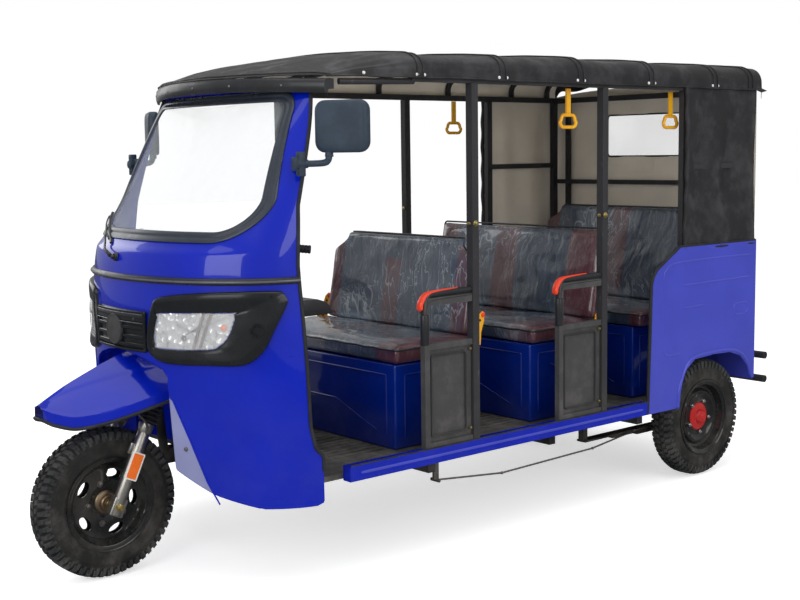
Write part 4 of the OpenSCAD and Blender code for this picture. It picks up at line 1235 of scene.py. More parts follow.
def roof_half_section(s):
    """Height and width of the canopy at a share s of the way from the hem to the crown."""
    r = CORNER_R
    if s < 0.10:
        return ROOF_HALF, HEM_Z + (EDGE_Z - r - HEM_Z) * s / 0.10
    if s < 0.34:
        a = math.radians(80 * (s - 0.10) / 0.24)
        return ROOF_HALF - 0.014 - r + (r + 0.014) * math.cos(a), EDGE_Z - r + r * math.sin(a)
    t = 1 - (s - 0.34) / 0.66
    wide = ROOF_HALF - 0.014 - r + (r + 0.014) * math.cos(math.radians(80))
    low = EDGE_Z - r + r * math.sin(math.radians(80))
    return wide * t, CROWN_Z - (CROWN_Z - low) * t * t


def roof_drop(y):
    """How much lower the canopy is ahead of its second hoop."""
    return FRONT_DROP * (1 - min(1.0, max(0.0, (y - HOOPS[0]) / (HOOPS[2] - HOOPS[0]))))


def canopy_point(u, v, lift=0.0):
    """The canopy skin: u from the right hem over the crown to the left hem, v from the visor to the tail."""
    side = 1 if u > 0.5 else -1
    s = 1 - abs(2 * u - 1)
    x, z = roof_half_section(s)
    slump = 0.0
    if v < FRONT_SHARE:
        k = v / FRONT_SHARE
        x *= 1 - 0.12 * (1 - k) ** 1.4
        y = (visor_y(x) + 0.004) * (1 - k) + HOOPS[0] * k
        rise = (z - HEM_Z) * (1 - FRONT_DROP / ROOF_RISE) * (0.05 + 0.95 * math.sin(k * math.pi / 2) ** 0.9)
        z = HEM_Z + 0.004 * (1 - k) + rise
        # folds that fan out from the first hoop's corner, and a slack belly ahead of the hoop
        for n, (place, depth, width) in enumerate(((0.20, 0.0055, 0.030), (0.30, 0.0070, 0.026), (0.40, 0.0060, 0.034),
                                                   (0.55, 0.0040, 0.05))):
            ridge = s - place - 0.16 * (1 - k) * (place - 0.24) * 2
            z += depth * math.exp(-(ridge / width) ** 2) * math.sin(math.pi * min(1, k * 1.15)) * (1 if n % 2 else -1)
        slump = 0.010 * math.sin(math.pi * k) * ease(0.25, 0.8, s)
        slump += 0.0025 * noise.noise(Vector((x * 6 * side, k * 5, 2.0)))
    else:
        k = (v - FRONT_SHARE) / (1 - FRONT_SHARE)
        y = HOOPS[0] + (CANOPY_END - HOOPS[0]) * k
        z = HEM_Z + (z - HEM_Z) * (1 - roof_drop(y) / ROOF_RISE)
        spans = HOOPS + [CANOPY_END]
        for a, b in zip(spans, spans[1:]):
            if a <= y <= b and b - a > 0.12:
                t = (y - a) / (b - a)
                belly = math.sin(math.pi * t)
                slump = 0.013 * belly * ease(0.08, 0.5, s) * (0.75 + 0.25 * math.sin(a * 9))
                # soft lengthwise tension folds between the hoops
                slump += 0.0026 * belly * math.sin(x * side * 34 + a * 7 + 2.4 * t) * ease(0.1, 0.35, s)
                slump += 0.0035 * belly * noise.noise(Vector((x * side * 4, y * 3.2, 7.0)))
                # the hem bows in between its fixings
                x -= 0.007 * belly * (1 - ease(0.0, 0.3, s))
                # a draped drop at the corner, pulled towards both hoops
                z -= 0.006 * belly * math.exp(-((s - 0.26) / 0.12) ** 2)
    rear = ease(0.965, 1.0, v)
    z -= 0.010 * rear * ease(0.2, 0.5, s)
    return at(side * (x + lift * (1 - ease(0.1, 0.5, s))), y, z - slump + lift * ease(0.05, 0.4, s) - 0.0035)


def canopy_share(y):
    """The v at which the canopy passes a place behind the front axle."""
    if y < HOOPS[0]:
        return FRONT_SHARE * (y - 0.45) / 0.5
    return FRONT_SHARE + (1 - FRONT_SHARE) * (y - HOOPS[0]) / (CANOPY_END - HOOPS[0])


def build_canopy(sizes):
    """One continuous vinyl sheet over the hoops with its lining, seam ropes, hem binding and snaps."""
    sheet = grid(150, 190, canopy_point)
    give(sheet, MATERIALS["vinyl"], MATERIALS["lining"])
    turn_out(sheet, at(0, 1.8, 1.2))
    thicken(sheet, sizes.canopy, material_offset=1, material_offset_rim=0, use_even_offset=False)
    finish(sheet, "canopy", "chassis", [MATERIALS["vinyl"], MATERIALS["lining"]], ["canopy_roof"], 70)

    ropes = []
    for y in HOOPS:
        v = canopy_share(y)
        for shift in (-0.006, 0.006):
            ropes.append(tube([canopy_point(k / 90, v + shift, 0.0022) for k in range(91)], 0.0026, 6))
    # lengthwise binding along both hems and across the front
    for u in (0.004, 0.996):
        ropes.append(tube([canopy_point(u, k / 160, 0.0012) for k in range(161)], 0.0036, 6))
    ropes.append(tube([canopy_point(k / 90, 0.006, 0.001) for k in range(91)], 0.0034, 6))
    seams = finish(join(ropes), "canopy_seam_ropes", "chassis", MATERIALS["vinyl"], angle=60)

    # Short valance across the tail
    def valance(u, v):
        p = canopy_point(0.03 + 0.94 * u, 1.0)
        return Vector((p.x, p.y - 0.001 + 0.002 * math.sin(v * 3), p.z - v * (0.055 + 0.006 * math.sin(u * 40))))
    back = grid(90, 6, valance)
    thicken(back, 0.002, 0.0)
    finish(back, "canopy_valance", "chassis", MATERIALS["vinyl"], angle=60)

    snaps = []
    for side in (1, -1):
        for y, u in ((0.62, 0.030), (0.930, 0.018), (0.972, 0.018)) + tuple((h + d, 0.018) for h in HOOPS[1:5]
                                                                            for d in (-0.02, 0.02)):
            v = canopy_share(y)
            uu = u if side < 0 else 1 - u
            p = canopy_point(uu, v, 0.0)
            d = Vector((side, 0, 0.05)).normalized()
            snaps.append(rod(p - d * 0.001, p + d * 0.0035, 0.0065, 0.0048, 18, 0.0008))
    finish(join(snaps), "canopy_snaps", "chassis", MATERIALS["white"], angle=40)


def build_visor():
    """Moulded strip that closes the roof's front edge, with its row of rivets."""
    def height(x):
        return 0.014 * (x / 0.560) ** 2

    section = [(0.000, 1.690), (-0.004, 1.700), (-0.005, 1.716), (-0.002, 1.732), (0.005, 1.7385), (0.040, 1.7395),
               (0.072, 1.7385),
               (0.072, 1.704), (0.012, 1.702), (0.008, 1.690)]
    loops = []
    for k in range(97):
        x = 0.558 * (2 * k / 96 - 1)
        loops.append([at(x, visor_y(x) + dy * (1 if dy < 0.03 else 1 - 0.5 * (x / 0.560) ** 2), z - height(x))
                      for dy, z in section])
    obj = loft(loops, caps=True)
    merge_and_face_out(obj)
    finish(obj, "roof_visor_strip", "chassis", MATERIALS["trim"], ["roof_visor"], 50)
    rivets = []
    for x in (-0.42, -0.21, 0.0, 0.21, 0.42):
        p = at(x, visor_y(x) - 0.004, 1.712 - height(x))
        rivets.append(rod(p, p + Vector((0, -0.0025, 0)), 0.005, 0.0035, 16, 0.0006))
    finish(join(rivets), "roof_visor_rivets", "chassis", MATERIALS["steel"])


def build_curtains(sizes):
    """Rolled side curtains round the rear bay and the closed rear curtain with its clear window."""
    for side, word in ((1, "left"), (-1, "right")):
        def hang(u, v):
            y = 2.482 + (3.004 - 2.482) * u
            z = 1.034 + (1.742 - 1.034) * v
            droop = math.sin(math.pi * u)
            fold = 0.010 * math.sin(u * 15 + 1.5 * math.sin(v * 3.1)) * (0.35 + 0.65 * math.sin(math.pi * v))
            fold += 0.0065 * noise.noise(Vector((y * 5, z * 2.6, side * 3.0)))
            pull = -0.010 * droop * math.sin(math.pi * v)
            return at(side * (0.6215 + min(0.010, fold + pull)), y, z)
        sheet = grid(90, 110, hang)
        give(sheet, MATERIALS["vinyl"], MATERIALS["lining"])
        turn_out(sheet, at(0, 2.7, 1.4))
        thicken(sheet, sizes.curtain, material_offset=1, material_offset_rim=0)
        finish(sheet, f"side_curtain_{word}", "chassis", [MATERIALS["vinyl"], MATERIALS["lining"]],
               ["side_curtains"] if side > 0 else [], 70)
        roll = tube([hang(0.004, k / 40) + Vector((side * 0.002, 0.003 * math.sin(k * 0.9), 0)) for k in range(41)],
                    0.0095, 10)
        low = tube([hang(k / 30, 0.004) for k in range(31)], 0.005, 8)
        finish(join([roll, low]), f"side_curtain_hem_{word}", "chassis", MATERIALS["vinyl"], angle=60)

    def back(u, v):
        x, z = -0.615 + 1.23 * u, 1.032 + (1.780 - 1.032) * v
        r = 0.0025 * math.sin(u * 26) * math.sin(math.pi * v)
        return at(x, 3.0155 + r, z - 0.030 * abs(2 * u - 1) ** 3 * v)
    sheet = grid(150, 96, back)
    give(sheet, MATERIALS["vinyl"], MATERIALS["lining"])
    keep = bmesh.new()
    keep.from_mesh(sheet.data)
    bmesh.ops.delete(keep, geom=[f for f in keep.faces
                                 if abs(f.calc_center_median().x) < 0.262 and 1.440 < f.calc_center_median().z < 1.644],
                     context="FACES")
    keep.to_mesh(sheet.data)
    keep.free()
    turn_out(sheet, at(0, 2.7, 1.4))
    thicken(sheet, sizes.curtain, material_offset=1, material_offset_rim=0)
    finish(sheet, "rear_curtain_sheet", "chassis", [MATERIALS["vinyl"], MATERIALS["lining"]],
           ["rear_curtain"], 70)
    line = [at(p.x, 3.0175, 1.542 + p.y) for p in rounded_outline(0.528, 0.208, 0.02)]
    welt = tube(line, 0.005, 8, closed=True)
    pane = grid(60, 30, lambda u, v: at(-0.263 + 0.526 * u, 3.0160 + 0.0012 * math.sin(u * 17 + v * 5),
                                        1.439 + 0.206 * v))
    thicken(pane, 0.0008, 0.0)
    finish(welt, "rear_window_welt", "chassis", MATERIALS["vinyl"], angle=60)
    finish(pane, "rear_window_pane", "chassis", MATERIALS["film"], ["rear_window"], 70)


def build_mirrors():
    """Rounded mirror heads, their glass, bent arms and clamps."""
    for side, word in ((1, "left"), (-1, "right")):
        turn = Matrix.Translation(at(side * 0.634, 0.600, 1.563)) @ Matrix.Rotation(math.radians(side * 25), 4, "Z")
        loops = []
        for depth, shrink in ((-0.022, 0.030), (-0.0215, 0.016), (-0.018, 0.006), (-0.010, 0.001), (0.006, 0.0),
                              (0.017, 0.001), (0.0215, 0.004), (0.0215, 0.009), (0.0185, 0.010)):
            loops.append([turn @ Vector((p.x, depth, p.y))
                          for p in rounded_outline(0.196 - 2 * shrink, 0.176 - 2 * shrink, 0.036)])
        head = loft(loops, caps=True)
        merge_and_face_out(head)
        loops = [[turn @ Vector((p.x, 0.0192, p.y)) for p in rounded_outline(0.175, 0.155, 0.028)],
                 [turn @ Vector((p.x, 0.0200, p.y)) for p in rounded_outline(0.170, 0.150, 0.026)]]
        glass = loft(loops, caps=True)
        merge_and_face_out(glass)
        finish(glass, f"mirror_glass_{word}", "chassis", MATERIALS["mirror_glass"])
        arm = tube(smooth_path([at(side * 0.560, 0.474, 1.440), at(side * 0.590, 0.505, 1.440),
                                at(side * 0.598, 0.548, 1.442),
                                at(side * 0.592, 0.572, 1.452), at(side * 0.590, 0.578, 1.482)], 8), 0.0115, 14)
        clamp = join([cuboid(at(side * 0.570 - 0.012, 0.461, 1.398), at(side * 0.570 + 0.012, 0.487, 1.480), 0.004, 3),
                      cuboid(at(side * 0.540 - 0.022, 0.470, 1.415), at(side * 0.540 + 0.022, 0.482, 1.463), 0.003, 2)])
        boss = rod(at(side * 0.570, 0.456, 1.440), at(side * 0.570, 0.500, 1.440), 0.0165, 0.0150, 28, 0.002)
        sleeve = rod(at(side * 0.590, 0.5775, 1.462), at(side * 0.590, 0.578, 1.486), 0.0150, 0.0125, 28, 0.0015)
        screws = [rod(at(side * 0.570, 0.462, z), at(side * 0.570, 0.458, z), 0.0048, 0.0040, 16)
                  for z in (1.411, 1.467)]
        clamp = join([clamp] + screws)
        finish(join([head, arm, clamp, boss, sleeve]), f"mirror_{word}", "chassis",
               MATERIALS["mirror_shell"],
               ["mirrors"] if side > 0 else [], 40)


# ---------------------------------------------------------------- wheels, fork and fender

TYRE_W = 0.105


def build_tyres():
    """Three bias-ply tyres with block treads, rain grooves and bare sidewalls."""
    for name, body in (("front_tyre", "front_wheel"), ("rear_tyre_left", "rear_wheel_left"),
                       ("rear_tyre_right", "rear_wheel_right")):
        centre = cad(name)[2]
        w = TYRE_W / 2
        profile = [(0.158, w - 0.012), (0.163, w - 0.006), (0.172, w - 0.0045), (0.176, w - 0.0015),
                   (0.196, w - 0.0002), (0.214, w - 0.001),
                   (0.216, w - 0.0025), (0.228, w - 0.0045), (0.240, w - 0.0085), (0.2505, w - 0.015),
                   (0.2565, w - 0.030), (0.2580, 0.0)]
        whole = profile + [(a, -b) for a, b in reversed(profile[:-1])]
        carcass = turned(whole, centre, (1, 0, 0), 96)
        thicken(carcass, 0.004)
        finish(carcass, f"{name}_carcass", body, MATERIALS["tyre"], [name], 30)
        # One pitch of tread: two shoulder blocks, two staggered middle blocks, then copied round
        count = 56
        blocks = []
        step = 2 * math.pi / count

        def block(a0, a1, x0, x1, base, top_out, top_in, slope):
            loops = []
            for rr, shrink in ((base, 0.0), (top_out - 0.0015, 0.0006), (top_out, 0.0018)):
                loop = []
                for a, x in ((a0, x0), (a1, x0), (a1, x1), (a0, x1)):
                    aa = a + (shrink / 0.26 if a == a0 else -shrink / 0.26) + slope * (x - x0)
                    xx = x + (shrink if x == x0 else -shrink) * (1 if x1 > x0 else -1)
                    height = rr if abs(x) < abs(x1) or abs(x0) > abs(x1) else rr - (top_out - top_in)
                    loop.append(centre + Vector((xx, height * math.sin(aa), height * math.cos(aa))))
                loops.append(loop)
            return loft(loops, caps=True)

        for side in (1, -1):
            phase = 0.5 * step if side < 0 else 0.0
            blocks.append(block(phase, phase + 0.66 * step, side * 0.026, side * 0.0485, 0.244, 0.2640, 0.2555,
                                side * 0.9))
            blocks.append(block(phase + 0.2 * step, phase + 0.84 * step, side * 0.004, side * 0.022, 0.252, 0.2647,
                                0.2645, side * 1.2))
            blocks.append(block(phase + 0.1 * step, phase + 0.55 * step, side * 0.0495, side * 0.0515, 0.226, 0.2480,
                                0.2480, 0.0))
        pitch = merge_and_face_out(join(blocks))
        give(pitch, MATERIALS["tread"])
        around = []
        for k in range(1, count):
            turn = Matrix.Translation(centre) @ Matrix.Rotation(k * step, 4, "X") @ Matrix.Translation(-centre)
            around.append(copy_of(pitch, turn))
        tread = join([pitch] + around)
        finish(tread, f"{name}_tread", body, MATERIALS["tread"], angle=25)


def build_rims():
    """Pressed wheels: a pierced gloss disc in front, stepped discs with red hubs behind."""
    centre = cad("front_tyre")[2]
    for side in (1, -1):
        profile = [(0.030, 0.012), (0.050, 0.014), (0.064, 0.020), (0.082, 0.020), (0.112, 0.0135), (0.128, 0.0155),
                   (0.136, 0.026), (0.146, 0.036),
                   (0.150, 0.044), (0.160, 0.0475), (0.1655, 0.0475)]
        disc = turned(profile, centre, (side, 0, 0), 100)
        thicken(disc, 0.003, 0.0)
        cutters = []
        for k in range(5):
            a = 2 * math.pi * k / 5 + 0.3
            p = Vector((centre.x + side * 0.016, centre.y + 0.104 * math.sin(a), centre.z + 0.104 * math.cos(a)))
            c = rod(p - Vector((0.03, 0, 0)), p + Vector((0.03, 0, 0)), 0.017, sides=40)
            c.data.transform(Matrix.Translation(p) @ Matrix.Rotation(-a, 4, "X") @ Matrix.Diagonal((1, 1.75, 1, 1))
                             @ Matrix.Translation(-p))
            cutters.append(c)
        tool = join(cutters)
        pick(disc)
        m = disc.modifiers.new("Holes", "BOOLEAN")
        m.operation, m.object, m.solver = "DIFFERENCE", tool, "EXACT"
        bpy.ops.object.modifier_apply(modifier=m.name)
        bpy.data.objects.remove(tool)
        lip = turned([(0.1655, 0.0475), (0.1675, 0.0490), (0.1670, 0.0515), (0.1640, 0.0510), (0.1600, 0.0475)], centre,
                     (side, 0, 0), 96)
        finish(join([disc, lip]), f"front_rim_disc_{'left' if side > 0 else 'right'}", "front_wheel",
               MATERIALS["rim"],
               ["front_rim"] if side > 0 else [], 35)
        hub = turned([(0.0, 0.043), (0.010, 0.043), (0.012, 0.040), (0.017, 0.040), (0.0175, 0.0375), (0.026, 0.0375),
                      (0.029, 0.034), (0.030, 0.022),
                      (0.040, 0.020), (0.044, 0.016), (0.046, 0.010)], centre, (side, 0, 0), 64)
        finish(hub, f"front_hub_{'left' if side > 0 else 'right'}", "front_wheel",
               MATERIALS["hub_brown"], angle=35)
        bolts = []
        for k in range(5):
            a = 2 * math.pi * (k + 0.5) / 5 + 0.3
            p = Vector((centre.x + side * 0.020, centre.y + 0.074 * math.sin(a), centre.z + 0.074 * math.cos(a)))
            bolts.append(rod(p, p + Vector((side * 0.009, 0, 0)), 0.0082, 0.0078, 6, 0.001))
            bolts.append(rod(p, p + Vector((side * 0.002, 0, 0)), 0.012, 0.0115, 20))
        finish(join(bolts), f"front_wheel_nuts_{'left' if side > 0 else 'right'}", "front_wheel",
               MATERIALS["steel"], angle=30)
    barrel = turned([(0.160, -0.046), (0.155, -0.034), (0.142, -0.028), (0.142, 0.028), (0.155, 0.034), (0.160, 0.046)],
                    centre, (1, 0, 0), 72)
    thicken(barrel, 0.003, 0.0)
    drum = turned([(0.0, -0.020), (0.070, -0.020), (0.074, -0.016), (0.074, 0.010), (0.066, 0.012), (0.0, 0.012)],
                  centre, (1, 0, 0), 64)
    finish(join([barrel, drum]), "front_rim_barrel", "front_wheel", MATERIALS["rim"], angle=35)

    for side, name in ((1, "left"), (-1, "right")):
        centre = cad(f"rear_tyre_{name}")[2]
        profile = [(0.0, 0.016), (0.055, 0.016), (0.060, 0.012), (0.080, 0.010), (0.098, 0.014), (0.108, 0.022),
                   (0.116, 0.022), (0.128, 0.010), (0.140, 0.014),
                   (0.146, 0.028), (0.150, 0.042), (0.160, 0.0475), (0.166, 0.0475), (0.1675, 0.0505), (0.164, 0.0512),
                   (0.160, 0.0485)]
        disc = turned(profile, centre, (side, 0, 0), 100)
        thicken(disc, 0.003, 0.0)
        inner = turned([(0.160, -0.0475), (0.155, -0.034), (0.142, -0.028), (0.142, 0.020)], centre, (side, 0, 0), 72)
        thicken(inner, 0.003, 0.0)
        finish(join([disc, inner]), f"rear_rim_disc_{name}", f"rear_wheel_{name}", MATERIALS["rim"],
               [f"rear_rim_{name}"], 35)
        hub = turned([(0.0, 0.048), (0.012, 0.048), (0.016, 0.045), (0.024, 0.044), (0.030, 0.038), (0.033, 0.026),
                      (0.044, 0.024), (0.060, 0.020), (0.062, 0.016)],
                     centre, (side, 0, 0), 64)
        finish(hub, f"rear_hub_{name}", f"rear_wheel_{name}", MATERIALS["red_hub"], angle=35)
        nuts = []
        for k in range(5):
            a = 2 * math.pi * k / 5 + 0.5
            p = Vector((centre.x + side * 0.012, centre.y + 0.073 * math.sin(a), centre.z + 0.073 * math.cos(a)))
            nuts.append(rod(p, p + Vector((side * 0.013, 0, 0)), 0.0098, 0.0092, 6, 0.001))
            nuts.append(rod(p + Vector((side * 0.012, 0, 0)), p + Vector((side * 0.019, 0, 0)), 0.0055, 0.0048, 14,
                            0.0006))
        finish(join(nuts), f"rear_wheel_nuts_{name}", f"rear_wheel_{name}", MATERIALS["chrome"], angle=30)
        drum = turned([(0.0, -0.058), (0.090, -0.058), (0.096, -0.052), (0.096, -0.012), (0.0, -0.012)], centre,
                      (side, 0, 0), 64)
        finish(drum, f"rear_drum_{name}", f"rear_wheel_{name}", MATERIALS["cast"], angle=35)


# Half the distance between the fork legs
LEG_X = 0.095


def build_fork():
    """Telescopic fork: silver sliders with feet and nuts, ridged bellows, crown, stem and side reflectors."""
    silver, black = [], []
    for s in (1, -1):
        x = s * LEG_X
        silver.append(rod(on_fork(x, 0, -0.030), on_fork(x, 0, 0.296), 0.0225, 0.0225, 40, 0.002))
        silver.append(rod(on_fork(x, 0, 0.270), on_fork(x, 0, 0.304), 0.0232, 0.0290, 40, 0.002))
        silver.append(rod(on_fork(x, 0, 0.060), on_fork(x, 0, 0.074), 0.0222, 0.0222, 40, 0.0015))
        foot = cuboid((-0.017, -0.026, -0.034), (0.017, 0.026, 0.034), 0.005, 3)
        foot.data.transform(Matrix.Translation(on_fork(x, 0, 0)) @ Matrix.Rotation(-RAKE, 4, "X"))
        silver.append(foot)
        lug = cuboid((-0.006, -0.036, -0.020), (0.006, -0.016, 0.020), 0.003, 2)
        lug.data.transform(Matrix.Translation(on_fork(x, 0, 0.205)) @ Matrix.Rotation(-RAKE, 4, "X"))
        silver.append(lug)
        # bellows: rings of rubber round the upper tube
        profile = [(0.0165, 0.0)]
        for k in range(5):
            z = 0.004 + k * 0.0165
            profile += [(0.0245, z), (0.0345, z + 0.005), (0.0345, z + 0.009), (0.0245, z + 0.0135)]
        profile += [(0.0205, 0.088), (0.0165, 0.089)]
        up = (on_fork(x, 0, 1.0) - on_fork(x, 0, 0)).normalized()
        black.append(turned(profile, on_fork(x, 0, 0.302), up, 48))
    finish(join(silver), "fork_sliders", "steering", MATERIALS["alloy"], ["fork"], 35)
    finish(join(black), "fork_bellows", "steering", MATERIALS["rubber"], angle=50)
    parts = [rod(on_fork(s * LEG_X, 0, 0.380), on_fork(s * LEG_X, 0, 0.416), 0.0160, 0.016, 32) for s in (1, -1)]
    crown = cuboid((-0.124, -0.026, 0.400), (0.124, 0.026, 0.428), 0.010, 4)
    crown.data.transform(Matrix.Translation(AXLE) @ Matrix.Rotation(-RAKE, 4, "X"))
    parts += [crown, rod(on_fork(0, 0, 0.420), on_fork(0, 0, 0.928), 0.0158, 0.0158, 32),
              rod(on_fork(0, 0, 0.428), on_fork(0, 0, 0.452), 0.026, 0.022, 32, 0.002)]
    finish(join(parts), "fork_crown_and_stem", "steering", MATERIALS["frame"], angle=35)
    nuts = [rod(at(-0.128, 0, AXLE.z), at(0.128, 0, AXLE.z), 0.0078, 0.0078, 24)]
    for s in (1, -1):
        nuts.append(rod(at(s * 0.112, 0, AXLE.z), at(s * 0.121, 0, AXLE.z), 0.0150, 0.0145, 6, 0.001))
        nuts.append(rod(at(s * 0.110, 0, AXLE.z), at(s * 0.113, 0, AXLE.z), 0.0185, 0.018, 28, 0.0006))
    finish(join(nuts), "front_axle_nuts", "steering", MATERIALS["brass"], angle=30)
    for s, word in ((1, "left"), (-1, "right")):
        turn = Matrix.Translation(on_fork(s * 0.1165, -0.004, 0.150)) @ Matrix.Rotation(-RAKE, 4, "X")

        def slab(w, h, d0, d1, r):
            loops = [[turn @ Vector((s * (d0 if k == 0 else d1), p.x, p.y))
                      for p in rounded_outline(w - (0.002 if k == 2 else 0), h - (0.002 if k == 2 else 0), r)]
                      for k in (0, 1, 2)]
            piece = loft(loops, caps=True)
            return merge_and_face_out(piece)
        tray = slab(0.050, 0.098, 0.0, 0.0055, 0.005)
        finish(tray, f"fork_reflector_frame_{word}", "steering", MATERIALS["white"], angle=35)
        pad = slab(0.036, 0.088, 0.0052, 0.0085, 0.003)
        finish(pad, f"fork_reflector_{word}", "steering", MATERIALS["amber"], angle=35)


def build_fender():
    """Front mudguard with a raised crown, vertical skirts and a rubber lower edge."""
    rows = [(-0.227, 0.030, 0.641, 0.632, 0.592), (-0.205, 0.062, 0.656, 0.620, 0.578),
            (-0.140, 0.102, 0.686, 0.604, 0.562), (-0.040, 0.134, 0.729, 0.612, 0.574),
            (0.040, 0.153, 0.760, 0.630, 0.592), (0.100, 0.166, 0.778, 0.646, 0.608),
            (0.188, 0.180, 0.786, 0.667, 0.630)]
    half, top, crease, hem = (smooth_table([(r[0], r[k]) for r in rows]) for k in (1, 2, 3, 4))

    def skin(u, v):
        """u runs from the left hem over the crown to the right hem, v from the tip to the rear."""
        y = -0.227 + (0.188 + 0.227) * v ** 1.25
        q = abs(2 * u - 1)
        over = 0.80
        if q <= over:
            s = q / over
            x, z = half(y) * s, top(y) - (top(y) - crease(y)) * (0.62 * s + 0.38 * s ** 2.6)
            ridge = 0.010 + 0.150 * ease(-0.25, 0.25, y)
            z += 0.0065 * (1 - ease(ridge * 0.62, ridge * 0.62 + 0.010, x)) * ease(-0.215, -0.12, y)
            x += 0.0015 * ease(0.9, 1.0, s)
        else:
            s = (q - over) / (1 - over)
            x, z = half(y) + 0.0015 + 0.003 * s, crease(y) - (crease(y) - hem(y)) * s
        return at(x if u < 0.5 else -x, y, z)
    sheet = grid(120, 90, skin)
    close_hole(sheet, at(0, -0.227, 0.61), 0.055)
    turn_out(sheet, at(0, -0.02, 0.5))
    thicken(sheet, 0.0035, use_even_offset=False)
    finish(sheet, "front_mudguard", "steering", MATERIALS["paint"], ["front_fender"], 32)
    path = [skin(0.0, k / 40) for k in range(40, -1, -1)] + [skin(1.0, k / 40) for k in range(41)]
    bead = tube([p + Vector((0, 0, 0.001)) for p in path], 0.0062, 8)
    finish(bead, "mudguard_edge_rubber", "steering", MATERIALS["rubber"], angle=60)
    stay = []
    for s in (1, -1):
        stay.append(tube(smooth_path([on_fork(s * 0.108, 0.000, 0.255), on_fork(s * 0.128, -0.020, 0.300),
                                      at(s * 0.150, 0.045, 0.612)], 6), 0.0045, 8))
    finish(join(stay), "mudguard_stays", "steering", MATERIALS["steel"], angle=50)


def build_handlebar():
    """Handlebar with ribbed grips, levers and a plain instrument cowl on its stem."""
    parts, grips, levers = [rod(on_fork(0, 0, 0.928), on_fork(0, 0, 0.960), 0.0235, 0.0235, 32, 0.003)], [], []
    for s in (1, -1):
        path = smooth_path([at(0, 0.405, 1.122), at(s * 0.10, 0.410, 1.140), at(s * 0.210, 0.440, 1.160),
                            at(s * 0.300, 0.533, 1.149)], 8)
        parts.append(tube(path, 0.0108, 12))
        a, b = at(s * 0.285, 0.518, 1.1505), at(s * 0.396, 0.636, 1.1365)
        d = (b - a).normalized()
        n = 14
        profile = [(0.0, 0.0)] + [(r, (k + f) * (b - a).length / n) for k in range(n)
                                  for f, r in ((0.1, 0.0138), (0.3, 0.0150), (0.7, 0.0150), (0.9, 0.0138))] + [(0.0,
                                          (b - a).length)]
        grips.append(turned(profile, a, d, 32))
        levers.append(tube(smooth_path([a + Vector((0, -0.010, 0)), a + Vector((s * 0.01, -0.045, -0.004)),
                                        b + Vector((s * -0.02, -0.050, -0.006))], 8), 0.0048, 8))
        levers.append(rod(a + Vector((0, -0.016, 0)) - d * 0.012, a + Vector((0, -0.016, 0)) + d * 0.014, 0.0125,
                          0.0125, 20, 0.002))
    finish(join(parts), "handlebar_tube", "steering", MATERIALS["trim"], ["handlebar"], 40)
    finish(join(grips), "handlebar_grips", "steering", MATERIALS["rubber"], angle=35)
    finish(join(levers), "brake_levers", "steering", MATERIALS["steel"], angle=45)


# ---------------------------------------------------------------- benches, guards and the driver's place

BENCHES = (("front", 0.945, 0.488), ("middle", 1.660, 0.500), ("rear", 2.345, 0.500))


def puffed(obj, pressure=4.0, limit=0.010):
    """Fills a pad with air by a short cloth run, which is skipped on quick builds."""
    start = [v.co.copy() for v in obj.data.vertices]
    pick(obj)
    cloth = obj.modifiers.new("Cloth", "CLOTH")
    # Fills a pad with air by a short cloth run.
    cloth.settings.quality = 4
    cloth.settings.use_pressure = True
    cloth.settings.uniform_pressure_force = pressure
    cloth.settings.tension_stiffness = 25
    cloth.settings.bending_stiffness = 3
    cloth.settings.effector_weights.gravity = 0
    cloth.point_cache.frame_end = 20
    for f in range(1, 21):
        bpy.context.scene.frame_set(f)
    bpy.ops.object.modifier_apply(modifier=cloth.name)
    bpy.context.scene.frame_set(1)
    for v, before in zip(obj.data.vertices, start):
        move = v.co - before
        if move.length > limit:
            v.co = before + move.normalized() * limit
    return obj


def pad_block(low, high, corner, voxel=0.0085):
    """A closed pad form with rounded corners, ready to be filled."""
    obj = cuboid(low, high, corner, 4)
    modify(obj, "REMESH", mode="VOXEL", voxel_size=voxel)
    return obj


